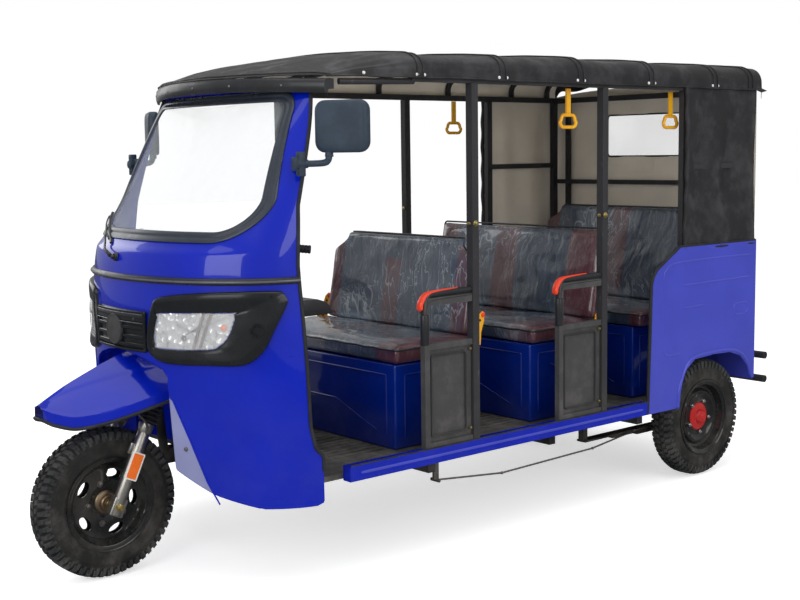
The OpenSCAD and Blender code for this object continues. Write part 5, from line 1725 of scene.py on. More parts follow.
def build_cushions():
    """Bench cushions and leaning backrests in striped vinyl under wrapping film, with piped seams."""
    for (word, y, half), lean_data in zip(BENCHES,
                                          ((1.325, 0.452, 1.142, True), (2.010, 0.510, 1.150, False),
                                           (2.735, 0.500, 1.205, True))):
        material = MATERIALS[f"seat_{word}"]
        low, high = at(-half + 0.006, y + 0.006, 0.6935), at(half - 0.006, y + 0.424, 0.760)
        pad = pad_block(low, high, 0.022)
        puffed(pad, 5.0, 0.006)
        middle = (Vector(low) + Vector(high)) / 2
        for v in pad.data.vertices:
            dx, dy = (v.co.x - middle.x) / (half - 0.006), (v.co.y - middle.y) / 0.209
            crown = max(0.0, 1 - dx ** 4) * max(0.0, 1 - dy ** 4)
            if v.co.z > middle.z:
                v.co.z += 0.008 * crown - 0.003
                # soft pulled folds near the ends and along the front edge
                v.co.z += 0.0030 * noise.noise(Vector((v.co.x * 9, v.co.y * 16, y))) * ease(-1, 0.2, abs(dx) + abs(dy))
            else:
                v.co.z = max(v.co.z, 0.6935)
        finish(pad, f"bench_cushion_{word}", "chassis", material, [f"cushion_{word}"], 60)
        path = [at(p.x, y + 0.215 + p.y, 0.7475) for p in rounded_outline(2 * half - 0.006, 0.424, 0.024)]
        welt = tube([p + Vector((0, 0, 0.0012 * math.sin(k * 1.7))) for k, p in enumerate(dense_path(path, 0.03))],
                    0.0042, 8, closed=True)
        finish(welt, f"bench_cushion_piping_{word}", "chassis", MATERIALS["piping"], angle=60)

        foot, wide, top, notched = lean_data
        lean = math.radians(11)
        length = (top - 0.786) / math.cos(lean)
        pad = pad_block((-wide + 0.005, 0.004, -0.022), (wide - 0.005, 0.058, length - 0.006), 0.020)
        if notched:
            # the upper corners are cut back in a sweeping curve
            for v in pad.data.vertices:
                t = (v.co.z - (length - 0.105)) / 0.105
                if t > 0:
                    limit = wide - 0.100 * ease(0.0, 0.75, t) ** 0.8
                    if abs(v.co.x) > limit:
                        v.co.x = math.copysign(limit, v.co.x)
        puffed(pad, 4.0, 0.006)
        for v in pad.data.vertices:
            crown = max(0.0, 1 - (v.co.x / wide) ** 4) * max(0.0, 1 - (2 * v.co.z / length - 1) ** 4)
            side = 1 if v.co.y > 0.031 else -1
            v.co.y += side * (0.006 * crown - 0.004)
            v.co.y += side * 0.0028 * noise.noise(Vector((v.co.x * 8, v.co.z * 13, foot)))
        place = Matrix.Translation(at(0, foot, 0.786)) @ Matrix.Rotation(-lean, 4, "X")
        pad.data.transform(place)
        finish(pad, f"bench_backrest_{word}", "chassis", material, [f"backrest_{word}"], 60)
        line = []
        for side in (1, -1):
            cut = 0.100 if notched else 0.018
            corner = [(wide - 0.003, 0.02), (wide - 0.003, length - cut)] + [
                ((wide - 0.003 - 0.097 * ease(0, 0.75, a / 90) ** 0.8, length - cut + (cut - 0.003) * a / 90)
                 if notched else
                 (wide - cut + (cut - 0.003) * math.cos(math.radians(a)),
                  length - cut + (cut - 0.003) * math.sin(math.radians(a)))) for a in range(10, 91, 10)]
            part = [place @ Vector((side * x, 0.031, z)) for x, z in corner]
            line += part if side > 0 else part[::-1]
        welt = tube(dense_path(line, 0.03, closed=False), 0.0042, 8)
        finish(welt, f"bench_backrest_piping_{word}", "chassis", MATERIALS["piping"], angle=60)


def dense_path(points, step, closed=True):
    out = []
    n = len(points)
    for i in range(n if closed else n - 1):
        a, b = Vector(points[i]), Vector(points[(i + 1) % n])
        parts = max(1, int((b - a).length / step))
        out += [a.lerp(b, k / parts) for k in range(parts)]
    return out if closed else out + [Vector(points[-1])]


def raised_line(points, normal, width=0.009, height=0.0035):
    """A pressed bead along points on a flat panel."""
    normal = Vector(normal)
    loops = []
    pts = dense_path(points, 0.02, closed=False)
    for i, p in enumerate(pts):
        a, b = pts[max(0, i - 1)], pts[min(len(pts) - 1, i + 1)]
        across = (b - a).cross(normal).normalized()
        taper = min(1.0, (i + 0.6) / 1.6, (len(pts) - 1 - i + 0.6) / 1.6)
        loops.append([p + across * width * c * (0.5 + 0.5 * taper) + normal * h * taper for c, h in
                      ((-0.5, -0.0008), (-0.38, height * 0.45), (-0.2, height * 0.9), (0, height), (0.2, height * 0.9),
                       (0.38, height * 0.45), (0.5, -0.0008))])
    return merge_and_face_out(loft(loops, closed=True, caps=True))


def build_boxes():
    """Bench boxes with rounded folds and pressed lines."""
    for word, y0, y1, half in (("front", 0.958, 1.372, 0.462), ("middle", 1.672, 2.150, 0.470),
                               ("rear", 2.362, 2.960, 0.440)):
        pieces = [cuboid(at(-half, y0, 0.3685), at(half, y1, 0.6905), 0.009, 3)]
        front = (0, -1, 0)
        z0, z1 = 0.400, 0.648
        n = half - 0.05
        pieces.append(raised_line([at(-n, y0, z0 + 0.02), at(-n, y0, z1), at(n, y0, z1), at(n, y0, z0 + 0.02)], front))
        pieces.append(raised_line([at(-n + 0.06, y0, z0 + 0.03), at(-0.10, y0, 0.520), at(0.10, y0, 0.520),
                                   at(n - 0.06, y0, z0 + 0.03)], front))
        for side in (1, -1):
            out = (side, 0, 0)
            x = side * half
            pieces.append(raised_line([at(x, y0 + 0.05, z0 + 0.01), at(x, y0 + 0.05, z1), at(x, y1 - 0.05, z1)], out,
                                      0.010))
            pieces.append(raised_line([at(x, y0 + 0.12, 0.600), at(x, y0 + 0.20, 0.560)], out, 0.010))
        finish(join(pieces), f"bench_box_{word}", "chassis", MATERIALS["box_paint"], ["seat_boxes"]
               if word == "front" else [], 35)


def build_guards():
    """Raised borders on the guard panels, post bolts, double-tube arm rests and their pads."""
    borders, bolts, pads, tubes = [], [], [], []
    for side in (1, -1):
        for y0, y1 in ((0.968, 1.206), (1.682, 1.936)):
            x = side * 0.6195
            line = [at(x, (y0 + y1) / 2 + p.x, 0.589 + p.y)
                    for p in rounded_outline(y1 - y0 - 0.066, 0.346 - 0.048, 0.012)]
            borders.append(tube(dense_path(line, 0.03), 0.0035, 8, closed=True))
            path = smooth_path([at(side * 0.610, y0 - 0.012, 0.905), at(side * 0.610, y0 - 0.008, 0.935),
                                at(side * 0.610, y0 + 0.016, 0.962), at(side * 0.610, y0 + 0.060, 0.9705),
                                at(side * 0.610, y0 + 0.170, 0.9765)], 8)
            pads.append(pad_sleeve(path))
            for lift in (0.0, 0.020):
                tubes.append(tube(smooth_path([at(side * 0.610, y0 + 0.010, 0.870), at(side * 0.610, y0 + 0.010, 0.905),
                                               at(side * 0.610, y0 + 0.024, 0.934 + lift),
                                               at(side * 0.610, y0 + 0.070, 0.942 + lift),
                                               at(side * 0.610, y1 - 0.002, 0.946 + lift)], 8), 0.0125, 14))
            tubes.append(rod(at(side * 0.610, y0 + 0.010, 0.780), at(side * 0.610, y0 + 0.010, 0.890), 0.0165, 0.0165,
                             24, 0.002))
        for y in (1.222, 1.952):
            p = at(side * 0.610, y - 0.016, 1.208)
            bolts.append(rod(p + Vector((0, 0.001, 0)), p + Vector((0, -0.0055, 0)), 0.0085, 0.0082, 6, 0.001))
            q = at(side * 0.626, y, 1.208)
            bolts.append(rod(q, q + Vector((side * 0.0025, 0, 0)), 0.0125, 0.012, 24, 0.0006))
            bolts.append(rod(q + Vector((side * 0.002, 0, 0)), q + Vector((side * 0.0085, 0, 0)), 0.0082, 0.0078, 6,
                             0.001))
            for z in (0.445, 0.745):
                q = at(side * 0.622, y - 0.028, z)
                bolts.append(rod(q - Vector((side * 0.006, 0, 0)), q + Vector((side * 0.003, 0, 0)), 0.0062, 0.005, 6,
                                 0.0006))
    finish(join(borders), "guard_borders", "chassis", MATERIALS["frame"], angle=50)
    finish(join(tubes), "arm_rest_tubes", "chassis", MATERIALS["trim"], angle=50)
    finish(join(bolts), "post_bolts", "chassis", MATERIALS["brass"], angle=30)
    finish(join(pads), "arm_pads", "chassis", MATERIALS["orange"], ["armrest_pads"], 50)


def pad_sleeve(path):
    """A soft flat sleeve along an arm rest."""
    loops = []
    n = len(path)
    for i, p in enumerate(path):
        a, b = path[max(0, i - 1)], path[min(n - 1, i + 1)]
        along = (b - a).normalized()
        up = Vector((1, 0, 0)).cross(along).normalized()
        if up.z < 0:
            up = -up
        end = min(1.0, (i + 0.6) / 3.0, 0.30 + 0.70 * (n - 1 - i) / (n * 0.55))
        loops.append([p + Vector((0.0150 * end * math.cos(t), 0, 0)) + up * 0.0085 * end * math.sin(t) for t in
                      [2 * math.pi * k / 20 for k in range(20)]])
    return merge_and_face_out(loft(loops, caps=True))


def build_brackets():
    """Yellow hinge brackets at the cushion ends, and the strap hand grips."""
    plates, tips, spots = [], [], []
    for (_, y, half), x in zip(BENCHES, (0.491, 0.514, 0.514)):
        for side in (1, -1):
            px = side * (half + 0.0035)
            y1 = y + 0.366
            outline_ = [(0.0, 0.0), (0.060, 0.0), (0.064, 0.050), (0.078, 0.086), (0.084, 0.124), (0.072, 0.130),
                        (0.054, 0.116), (0.040, 0.080), (0.010, 0.056)]
            loops = [[at(px + d, y1 + a, 0.726 + b) for a, b in outline_] for d in (-0.0025, 0.0025)]
            plates.append(merge_and_face_out(loft(loops, caps=True)))
            tips.append(rod(at(px - 0.004, y1 + 0.074, 0.842), at(px + 0.004, y1 + 0.074, 0.842), 0.0110, 0.0105, 20,
                            0.001))
            for a, b in ((0.020, 0.050), (0.046, 0.062), (0.058, 0.096), (0.036, 0.030)):
                spots.append(rod(at(px - 0.0035, y1 + a, 0.726 + b), at(px + 0.0035, y1 + a, 0.726 + b), 0.0058, 0.005,
                                 14))
    finish(join(plates), "seat_brackets_yellow", "chassis", MATERIALS["yellow"], ["seat_brackets"],
           35)
    finish(join(tips), "seat_bracket_pins", "chassis", MATERIALS["orange"], angle=35)
    finish(join(spots), "seat_bracket_holes", "chassis", MATERIALS["trim"], angle=35)
    rings, straps = [], []
    for x, y in ((0.560, 1.800), (0.560, 2.455), (-0.560, 2.220)):
        loop = [at(x, y + p.x * (1.0 if p.y < 0 else 0.86), 1.588 + p.y) for p in rounded_outline(0.094, 0.048, 0.020)]
        rings.append(tube(dense_path(loop, 0.02), 0.0074, 12, closed=True))
        strap = []
        for k in range(9):
            t = k / 8
            strap.append([at(x + dx, y + dy, 1.606 + (1.716 - 1.606) * t)
                          for dx, dy in ((-0.004, -0.012), (0.004, -0.012), (0.004, 0.012), (-0.004, 0.012))])
        straps.append(merge_and_face_out(loft(strap, caps=True)))
    finish(join(rings), "hand_grip_rings", "chassis", MATERIALS["yellow"], ["hand_grips"], 50)
    finish(join(straps), "hand_grip_straps", "chassis", MATERIALS["yellow"], angle=40)


def build_cabin():
    """Dashboard shell with switches, ribbed mat and the finned drive unit."""
    line = [(0.700, 0.905), (0.455, 0.903), (0.455, 0.940), (0.470, 0.958), (0.500, 0.9615), (0.640, 0.9615),
            (0.675, 0.950), (0.698, 0.930)]
    loops = [[at(x, y, z) for y, z in line] for x in (-0.428, -0.40, -0.2, 0, 0.2, 0.40, 0.428)]
    shell = loft(loops, caps=True)
    merge_and_face_out(shell)
    soften(shell, 0.004, 2, 40)
    finish(shell, "dashboard_shell", "chassis", MATERIALS["trim"], ["dashboard"], 40)
    knobs = []
    for x in (-0.30, -0.24, -0.18, 0.20, 0.26):
        p = at(x, 0.696, 0.932)
        knobs.append(rod(p, p + Vector((0, 0.004, 0.0)), 0.011, 0.009, 20, 0.001))
    finish(join(knobs), "dashboard_switches", "chassis", MATERIALS["steel"], angle=35)
    ribs = []
    for k in range(21):
        x = -0.40 + 0.04 * k
        ribs.append(cuboid(at(x - 0.006, 0.72, 0.3682), at(x + 0.006, 0.945, 0.3722), 0.0012, 1))
    for k in range(21):
        x = -0.40 + 0.04 * k
        ribs.append(cuboid(at(x - 0.006, 1.450, 0.3682), at(x + 0.006, 1.662, 0.3722), 0.0012, 1))
    finish(join(ribs), "floor_mat_ribs", "chassis", MATERIALS["floor"], angle=35)
    low, high, middle = cad("drive_motor")
    fins = []
    for k in range(12):
        x = middle.x - 0.055 + 0.010 * k
        if low.x + 0.01 < x < high.x - 0.01:
            fins.append(turned([(0.0795, -0.0015), (0.0835, -0.0015), (0.0835, 0.0015), (0.0795, 0.0015)],
                               Vector((x, at(0, 2.665, 0).y, WHEEL_R)), (1, 0, 0), 48))
    if fins:
        fins = join(fins)
        finish(fins, "drive_unit_fins", "chassis", MATERIALS["cast"], angle=35)


# ---------------------------------------------------------------- rear tub and structure

TUB = [(2.232, 0.342), (2.252, 0.900), (2.285, 0.960), (2.440, 1.052), (2.480, 1.052), (3.012, 1.052), (3.012, 0.408),
       (2.990, 0.410), (2.960, 0.470), (2.905, 0.522),
       (2.820, 0.548), (2.700, 0.552), (2.560, 0.545), (2.490, 0.500), (2.452, 0.420), (2.440, 0.342)]
ARCH = TUB[8:16]


def build_cad_finishes():
    """Finishes of the structural nodes that stay as they are."""
    M = MATERIALS
    dress(["chassis_frame", "rear_axle"], M["chassis"])
    dress(["side_frames", "roof_frame", "rear_wall_frame", "rear_bumper"], M["frame"])
    dress(["side_guards"], M["guard"])
    dress(["floor_pan"], M["floor"])
    dress(["side_sills", "front_bulkhead"], M["paint"])
    # the tub enamel is lightened as painted reflected light
    dress(["tail_panel", "quarter_panels"], M["tub_paint"])
    dress(["brake_linkage"], M["steel"])
    dress(["drive_motor"], M["cast"])


def build_tub():
    """Pressed beads, wheel-arch flare and rubber edging on the quarter panels, and sill trim."""
    beads, trims = [], []
    for side in (1, -1):
        x = side * 0.630
        out = (side, 0, 0)

        def line(*pairs):
            return [at(x, y, z) for y, z in pairs]

        def curve(pairs, steps=6):
            return smooth_path(line(*pairs), steps)
        beads.append(raised_line(curve([(2.975, 0.985), (2.700, 0.986), (2.420, 0.980), (2.352, 0.955), (2.335, 0.900),
                                        (2.333, 0.720), (2.338, 0.610)]), out, 0.013, 0.0020))
        beads.append(raised_line(curve([(2.338, 0.610), (2.345, 0.590), (2.372, 0.580), (2.450, 0.582)]), out, 0.013,
                                 0.0020))
        beads.append(raised_line(line((2.470, 0.880), (2.960, 0.884)), out, 0.012, 0.0020))
        beads.append(raised_line(line((2.470, 0.780), (2.620, 0.782)), out, 0.012, 0.0020))
        oval = [at(x, 2.900 + p.x, 0.742 + p.y) for p in rounded_outline(0.110, 0.052, 0.0255)]
        beads.append(raised_line(oval + [oval[0]], out, 0.010, 0.0020))
        arch = [(2.985, 0.425)] + [(y, z + 0.010) for y, z in ARCH] + [(2.436, 0.345)]
        flare = smooth_path([at(side * 0.6285, y, z) for y, z in arch], 8)
        beads.append(tube(flare, 0.0085, 12))
        edge = [(2.233, 0.345), (2.252, 0.900), (2.262, 0.932), (2.290, 0.964), (2.440, 1.050)]
        trims.append(tube(dense_path([at(side * 0.6265, y, z) for y, z in edge], 0.03, False), 0.0075, 10))
        trims.append(tube(dense_path([at(side * 0.6265, y, z) for y, z in ((2.440, 1.0515), (3.006, 1.0515))], 0.05,
                                     False), 0.0055, 10))
        trims.append(tube(dense_path([at(side * 0.6255, y, z) for y, z in ((0.616, 0.3965), (2.230, 0.3965))], 0.05,
                                     False), 0.0045, 8))
        beads.append(raised_line([at(side * 0.6295, y, 0.369) for y in (0.66, 2.20)], out, 0.012, 0.0022))
    # the beads take the tub enamel, lightened as painted reflected light
    finish(join(beads), "tub_beads", "chassis", MATERIALS["tub_paint"], angle=50)
    finish(join(trims), "tub_rubber_edges", "chassis", MATERIALS["rubber"], angle=50)


def build_tail():
    """Tail lamps with red lenses and amber reflectors, and rubber caps on the bumper tubes."""
    shells, reds, ambers = [], [], []
    for side in (1, -1):
        mid = side * 0.530
        box = cuboid(at(mid - 0.060, 3.0125, 0.700), at(mid + 0.060, 3.026, 0.860), 0.005, 3)
        shells.append(box)
        for z0, z1, bag in ((0.760, 0.852, reds), (0.708, 0.756, ambers)):
            loops = []
            for depth, shrink in ((3.0255, 0.0), (3.033, 0.001), (3.0365, 0.004), (3.0375, 0.012)):
                loops.append([at(mid + p.x, depth, (z0 + z1) / 2 + p.y)
                              for p in rounded_outline(0.108 - 2 * shrink, z1 - z0 - 2 * shrink, 0.010 - shrink * 0.5)])
            bag.append(merge_and_face_out(loft(loops, caps=True)))
    finish(join(shells), "tail_lamp_housings", "chassis", MATERIALS["trim"], angle=35)
    finish(join(reds), "tail_lamp_red_lenses", "chassis", MATERIALS["red_lens"], ["tail_lamps"], 35)
    finish(join(ambers), "tail_lamp_amber_lenses", "chassis", MATERIALS["amber"], angle=35)
    caps = []
    for z in (0.372, 0.486):
        for side in (1, -1):
            a = at(side * 0.560, 3.178, z)
            caps.append(rod(a, a + Vector((side * 0.0195, 0, 0)), 0.0168, 0.0155, 28, 0.004))
    finish(join(caps), "bumper_end_caps", "chassis", MATERIALS["rubber"], angle=40)


# ---------------------------------------------------------------- stage

def aim(obj, target):
    obj.rotation_euler = (Vector(target) - obj.location).to_track_quat("-Z", "Y").to_euler()


def soft_lamp(name, place, target, size, size_y, watts):
    """A rectangular soft light."""
    deselect()
    bpy.ops.object.light_add(type="AREA", location=place)
    lamp = bpy.context.object
    lamp.name = name
    lamp.data.shape = "RECTANGLE"
    lamp.data.size, lamp.data.size_y = size, size_y
    lamp.data.energy = watts
    aim(lamp, target)
    return lamp


def build_stage(settings):
    """Pale floor, soft lamps, surrounding light and the camera."""
    scene = bpy.context.scene
    scene.view_settings.view_transform = "Standard"
    deselect()
    bpy.ops.mesh.primitive_plane_add(size=60, location=(0, 0, 0))
    floor = bpy.context.object
    floor.name = "floor"
    m = bpy.data.materials.new("Pale floor")
    m.use_nodes = True
    tree = m.node_tree
    shader = tree.nodes["Principled BSDF"]
    shader.inputs["Base Color"].default_value = (0.92, 0.92, 0.92, 1)
    shader.inputs["Roughness"].default_value = 0.9
    shader.inputs["Specular IOR Level"].default_value = 0.1
    glow = tree.nodes.new("ShaderNodeEmission")
    glow.inputs["Strength"].default_value = settings.floor_glow
    mix = tree.nodes.new("ShaderNodeAddShader")
    path = tree.nodes.new("ShaderNodeLightPath")
    seen = maths(tree, "MAXIMUM", path.outputs["Is Camera Ray"], path.outputs["Is Transmission Ray"])
    tree.links.new(maths(tree, "MULTIPLY", seen, settings.floor_glow), glow.inputs["Strength"])
    # A darker floor in reflections keeps the enamel deep
    tree.links.new(blend_colour(tree, path.outputs["Is Glossy Ray"], (0.92, 0.92, 0.92), (0.18, 0.18, 0.19)),
                   shader.inputs["Base Color"])
    tree.links.new(shader.outputs[0], mix.inputs[0])
    tree.links.new(glow.outputs[0], mix.inputs[1])
    tree.links.new(mix.outputs[0], tree.nodes["Material Output"].inputs["Surface"])
    give(floor, m)

    world = bpy.data.worlds.new("Surroundings")
    scene.world = world
    world.use_nodes = True
    tree = world.node_tree
    back = tree.nodes["Background"]
    path = tree.nodes.new("ShaderNodeLightPath")
    seen = maths(tree, "MAXIMUM", path.outputs["Is Camera Ray"], path.outputs["Is Transmission Ray"])
    reflected = spread(tree, path.outputs["Is Glossy Ray"], 0.0, 1.0, settings.sky_strength,
                       settings.sky_strength * 0.65)
    tree.links.new(maths(tree, "MAXIMUM", reflected, seen), back.inputs["Strength"])
    back.inputs["Color"].default_value = (1.0, 1.0, 1.0, 1)

    soft_lamp("Overhead softbox", (0.4, -0.6, 5.2), (0, 0, 0.6), 5.0, 6.0, settings.overhead_watts)
    soft_lamp("Front softbox", (2.6, -6.5, 3.2), (0, -0.6, 0.8), 4.0, 3.0, settings.front_watts)
    soft_lamp("Side softbox", (6.5, 0.8, 3.4), (0, 0.4, 0.8), 5.0, 3.0, settings.side_watts)
    soft_lamp("Far softbox", (-6.0, -1.5, 3.2), (0, 0, 0.9), 4.0, 3.0, settings.far_watts)

    deselect()
    bpy.ops.object.camera_add()
    camera = bpy.context.object
    camera.name = "camera"
    turn, pitch, roll = settings.camera_turn, settings.camera_pitch, settings.camera_roll
    look = Vector((-math.sin(turn) * math.cos(pitch), math.cos(turn) * math.cos(pitch), -math.sin(pitch)))
    right = Vector((math.cos(turn), math.sin(turn), 0))
    down = look.cross(right)
    right, down = right * math.cos(roll) + down * math.sin(roll), down * math.cos(roll) - right * math.sin(roll)
    place = settings.camera_place
    camera.matrix_world = Matrix(((right.x, -down.x, -look.x, place[0]), (right.y, -down.y, -look.y, place[1]),
                                  (right.z, -down.z, -look.z, place[2]), (0, 0, 0, 1)))
    camera.data.sensor_width = 36
    camera.data.lens = settings.camera_lens
    camera.data.clip_end = 100
    scene.camera = camera


# ---------------------------------------------------------------- add-on

class FinishSettings(bpy.types.PropertyGroup):
    """Colours that a user would change."""
    paint: bpy.props.FloatVectorProperty(name="Body paint",
                                         description="Enamel on the nose, windscreen surround and sills",
                                         subtype="COLOR", size=3,
                                         min=0, max=1, default=(0.001, 0.014, 0.43))
    # Lighter than the body paint: painted reflected light on the tub
    tub_paint: bpy.props.FloatVectorProperty(name="Tub paint with painted reflection", description="Enamel on the quarter panels and tail",
                                             subtype="COLOR", size=3,
                                             min=0, max=1, default=(0.060, 0.075, 0.54))
    box_paint: bpy.props.FloatVectorProperty(name="Bench box paint",
                                             description="Enamel on the boxes under the benches", subtype="COLOR",
                                             size=3,
                                             min=0, max=1, default=(0.001, 0.020, 0.24))
    seat: bpy.props.FloatVectorProperty(name="Seat vinyl", description="Main colour of cushions and backrests",
                                        subtype="COLOR", size=3,
                                        min=0, max=1, default=(0.034, 0.052, 0.084))
    stripe: bpy.props.FloatVectorProperty(name="Seat stripes",
                                          description="Colour of the stripes on cushions and backrests",
                                          subtype="COLOR", size=3,
                                          min=0, max=1, default=(0.085, 0.026, 0.036))
    lining: bpy.props.FloatVectorProperty(name="Canopy lining", description="Cloth inside the canopy and curtains",
                                          subtype="COLOR", size=3,
                                          min=0, max=1, default=(0.86, 0.79, 0.67))


class SizeSettings(bpy.types.PropertyGroup):
    """Thicknesses that a user would change."""
    panel: bpy.props.FloatProperty(name="Panel", description="Thickness of the nose and windscreen surround",
                                   unit="LENGTH",
                                   min=0.001, default=0.006)
    canopy: bpy.props.FloatProperty(name="Canopy", description="Thickness of the lined roof vinyl", unit="LENGTH",
                                    min=0.0005, default=0.003)
    curtain: bpy.props.FloatProperty(name="Curtains", description="Thickness of the side and rear curtains",
                                     unit="LENGTH",
                                     min=0.0005, default=0.0022)
    glass: bpy.props.FloatProperty(name="Windscreen glass", description="Thickness of the windscreen", unit="LENGTH",
                                   min=0.001, default=0.005)


class StageSettings(bpy.types.PropertyGroup):
    """Camera and light levels."""
    camera_place: bpy.props.FloatVectorProperty(name="Camera place", description="Where the camera stands",
                                                subtype="XYZ", unit="LENGTH", size=3,
                                                default=(3.98709, -3.47668, 1.47199))
    camera_turn: bpy.props.FloatProperty(name="Camera turn",
                                         description="Turn from looking straight back along the vehicle",
                                         subtype="ANGLE",
                                         default=math.radians(49.58574))
    camera_pitch: bpy.props.FloatProperty(name="Camera pitch", description="How far the camera looks down",
                                          subtype="ANGLE", default=math.radians(6.65829))
    camera_roll: bpy.props.FloatProperty(name="Camera roll", description="Lean of the camera", subtype="ANGLE",
                                         default=math.radians(0.80627))
    camera_lens: bpy.props.FloatProperty(name="Lens", description="Focal length on a 36 mm wide sensor, in millimetres",
                                         default=56.7657)
    overhead_watts: bpy.props.FloatProperty(name="Overhead softbox", description="Power of the lamp above", min=0,
                                            default=110)
    front_watts: bpy.props.FloatProperty(name="Front softbox", description="Power of the lamp in front", min=0,
                                         default=105)
    side_watts: bpy.props.FloatProperty(name="Side softbox", description="Power of the lamp at the left", min=0,
                                        default=100)
    far_watts: bpy.props.FloatProperty(name="Far softbox", description="Power of the lamp at the right", min=0,
                                       default=60)
    sky_strength: bpy.props.FloatProperty(name="Surrounding light", description="Strength of the light from all round",
                                          min=0, default=0.55)
    floor_glow: bpy.props.FloatProperty(name="Floor glow", description="How much the floor is lifted towards white",
                                        min=0, max=1, default=0.56)


class RICKSHAW_OT_cad_finishes(bpy.types.Operator):
    """Puts finishes on the structural nodes that stay as they are."""
    bl_idname = "rickshaw.cad_finishes"
    bl_label = "Finish the steel structure"

    def execute(self, context):
        build_cad_finishes()
        return {"FINISHED"}


class RICKSHAW_OT_nose(bpy.types.Operator):
    """Builds the nose shell and its beading."""
    bl_idname = "rickshaw.nose"
    bl_label = "Nose"

    def execute(self, context):
        build_nose(context.scene.rickshaw_sizes)
        return {"FINISHED"}


class RICKSHAW_OT_cowl(bpy.types.Operator):
    """Builds the painted surround of the windscreen."""
    bl_idname = "rickshaw.cowl"
    bl_label = "Windscreen surround"

    def execute(self, context):
        build_cowl(context.scene.rickshaw_sizes)
        return {"FINISHED"}


class RICKSHAW_OT_waist_strip(bpy.types.Operator):
    """Builds the moulding under the windscreen."""
    bl_idname = "rickshaw.waist_strip"
    bl_label = "Waist strip"

    def execute(self, context):
        build_waist_strip()
        return {"FINISHED"}


class RICKSHAW_OT_windscreen(bpy.types.Operator):
    """Builds the glass and its seal."""
    bl_idname = "rickshaw.windscreen"
    bl_label = "Windscreen"

    def execute(self, context):
        build_windscreen(context.scene.rickshaw_sizes)
        return {"FINISHED"}


class RICKSHAW_OT_wiper(bpy.types.Operator):
    """Builds the wiper."""
    bl_idname = "rickshaw.wiper"
    bl_label = "Wiper"

    def execute(self, context):
        build_wiper()
        return {"FINISHED"}


class RICKSHAW_OT_lamps(bpy.types.Operator):
    """Builds both headlamps."""
    bl_idname = "rickshaw.lamps"
    bl_label = "Headlamps"

    def execute(self, context):
        build_lamps()
        return {"FINISHED"}


class RICKSHAW_OT_grille(bpy.types.Operator):
    """Builds the panel between the headlamps."""
    bl_idname = "rickshaw.grille"
    bl_label = "Grille panel"

    def execute(self, context):
        build_grille()
        return {"FINISHED"}


class RICKSHAW_OT_visor(bpy.types.Operator):
    """Builds the strip along the roof's front edge."""
    bl_idname = "rickshaw.visor"
    bl_label = "Roof visor"

    def execute(self, context):
        build_visor()
        return {"FINISHED"}


class RICKSHAW_OT_canopy(bpy.types.Operator):
    """Builds the vinyl roof."""
    bl_idname = "rickshaw.canopy"
    bl_label = "Canopy"

    def execute(self, context):
        build_canopy(context.scene.rickshaw_sizes)
        return {"FINISHED"}


class RICKSHAW_OT_curtains(bpy.types.Operator):
    """Builds the side and rear curtains."""
    bl_idname = "rickshaw.curtains"
    bl_label = "Curtains"

    def execute(self, context):
        build_curtains(context.scene.rickshaw_sizes)
        return {"FINISHED"}


class RICKSHAW_OT_mirrors(bpy.types.Operator):
    """Builds both mirrors."""
    bl_idname = "rickshaw.mirrors"
    bl_label = "Mirrors"

    def execute(self, context):
        build_mirrors()
        return {"FINISHED"}


class RICKSHAW_OT_tyres(bpy.types.Operator):
    """Builds the three tyres."""
    bl_idname = "rickshaw.tyres"
    bl_label = "Tyres"

    def execute(self, context):
        build_tyres()
        return {"FINISHED"}


class RICKSHAW_OT_rims(bpy.types.Operator):
    """Builds the wheel discs, hubs and nuts."""
    bl_idname = "rickshaw.rims"
    bl_label = "Wheel discs"

    def execute(self, context):
        build_rims()
        return {"FINISHED"}


class RICKSHAW_OT_fork(bpy.types.Operator):
    """Builds the fork, its bellows and reflectors."""
    bl_idname = "rickshaw.fork"
    bl_label = "Front fork"

    def execute(self, context):
        build_fork()
        return {"FINISHED"}


class RICKSHAW_OT_fender(bpy.types.Operator):
    """Builds the mudguard over the front wheel."""
    bl_idname = "rickshaw.fender"
    bl_label = "Front mudguard"

    def execute(self, context):
        build_fender()
        return {"FINISHED"}


class RICKSHAW_OT_handlebar(bpy.types.Operator):
    """Builds the handlebar and its grips."""
    bl_idname = "rickshaw.handlebar"
    bl_label = "Handlebar"

    def execute(self, context):
        build_handlebar()
        return {"FINISHED"}


class RICKSHAW_OT_cushions(bpy.types.Operator):
    """Builds the padded benches."""
    bl_idname = "rickshaw.cushions"
    bl_label = "Cushions and backrests"

    def execute(self, context):
        build_cushions()
        return {"FINISHED"}


class RICKSHAW_OT_boxes(bpy.types.Operator):
    """Builds the boxes under the benches."""
    bl_idname = "rickshaw.boxes"
    bl_label = "Bench boxes"

    def execute(self, context):
        build_boxes()
        return {"FINISHED"}


class RICKSHAW_OT_guards(bpy.types.Operator):
    """Builds the trim, bolts and arm pads of the side guards."""
    bl_idname = "rickshaw.guards"
    bl_label = "Side guards"

    def execute(self, context):
        build_guards()
        return {"FINISHED"}


class RICKSHAW_OT_brackets(bpy.types.Operator):
    """Builds the yellow brackets and the hand grips."""
    bl_idname = "rickshaw.brackets"
    bl_label = "Seat brackets and hand grips"

    def execute(self, context):
        build_brackets()
        return {"FINISHED"}


class RICKSHAW_OT_tub(bpy.types.Operator):
    """Builds the beads and trim of the quarter panels."""
    bl_idname = "rickshaw.tub"
    bl_label = "Rear tub"

    def execute(self, context):
        build_tub()
        return {"FINISHED"}


class RICKSHAW_OT_tail(bpy.types.Operator):
    """Builds the tail lamps and the bumper's end caps."""
    bl_idname = "rickshaw.tail"
    bl_label = "Tail lamps and bumper ends"

    def execute(self, context):
        build_tail()
        return {"FINISHED"}


class RICKSHAW_OT_cabin(bpy.types.Operator):
    """Builds the dashboard, floor mat and drive unit."""
    bl_idname = "rickshaw.cabin"
    bl_label = "Driver's place"

    def execute(self, context):
        build_cabin()
        return {"FINISHED"}


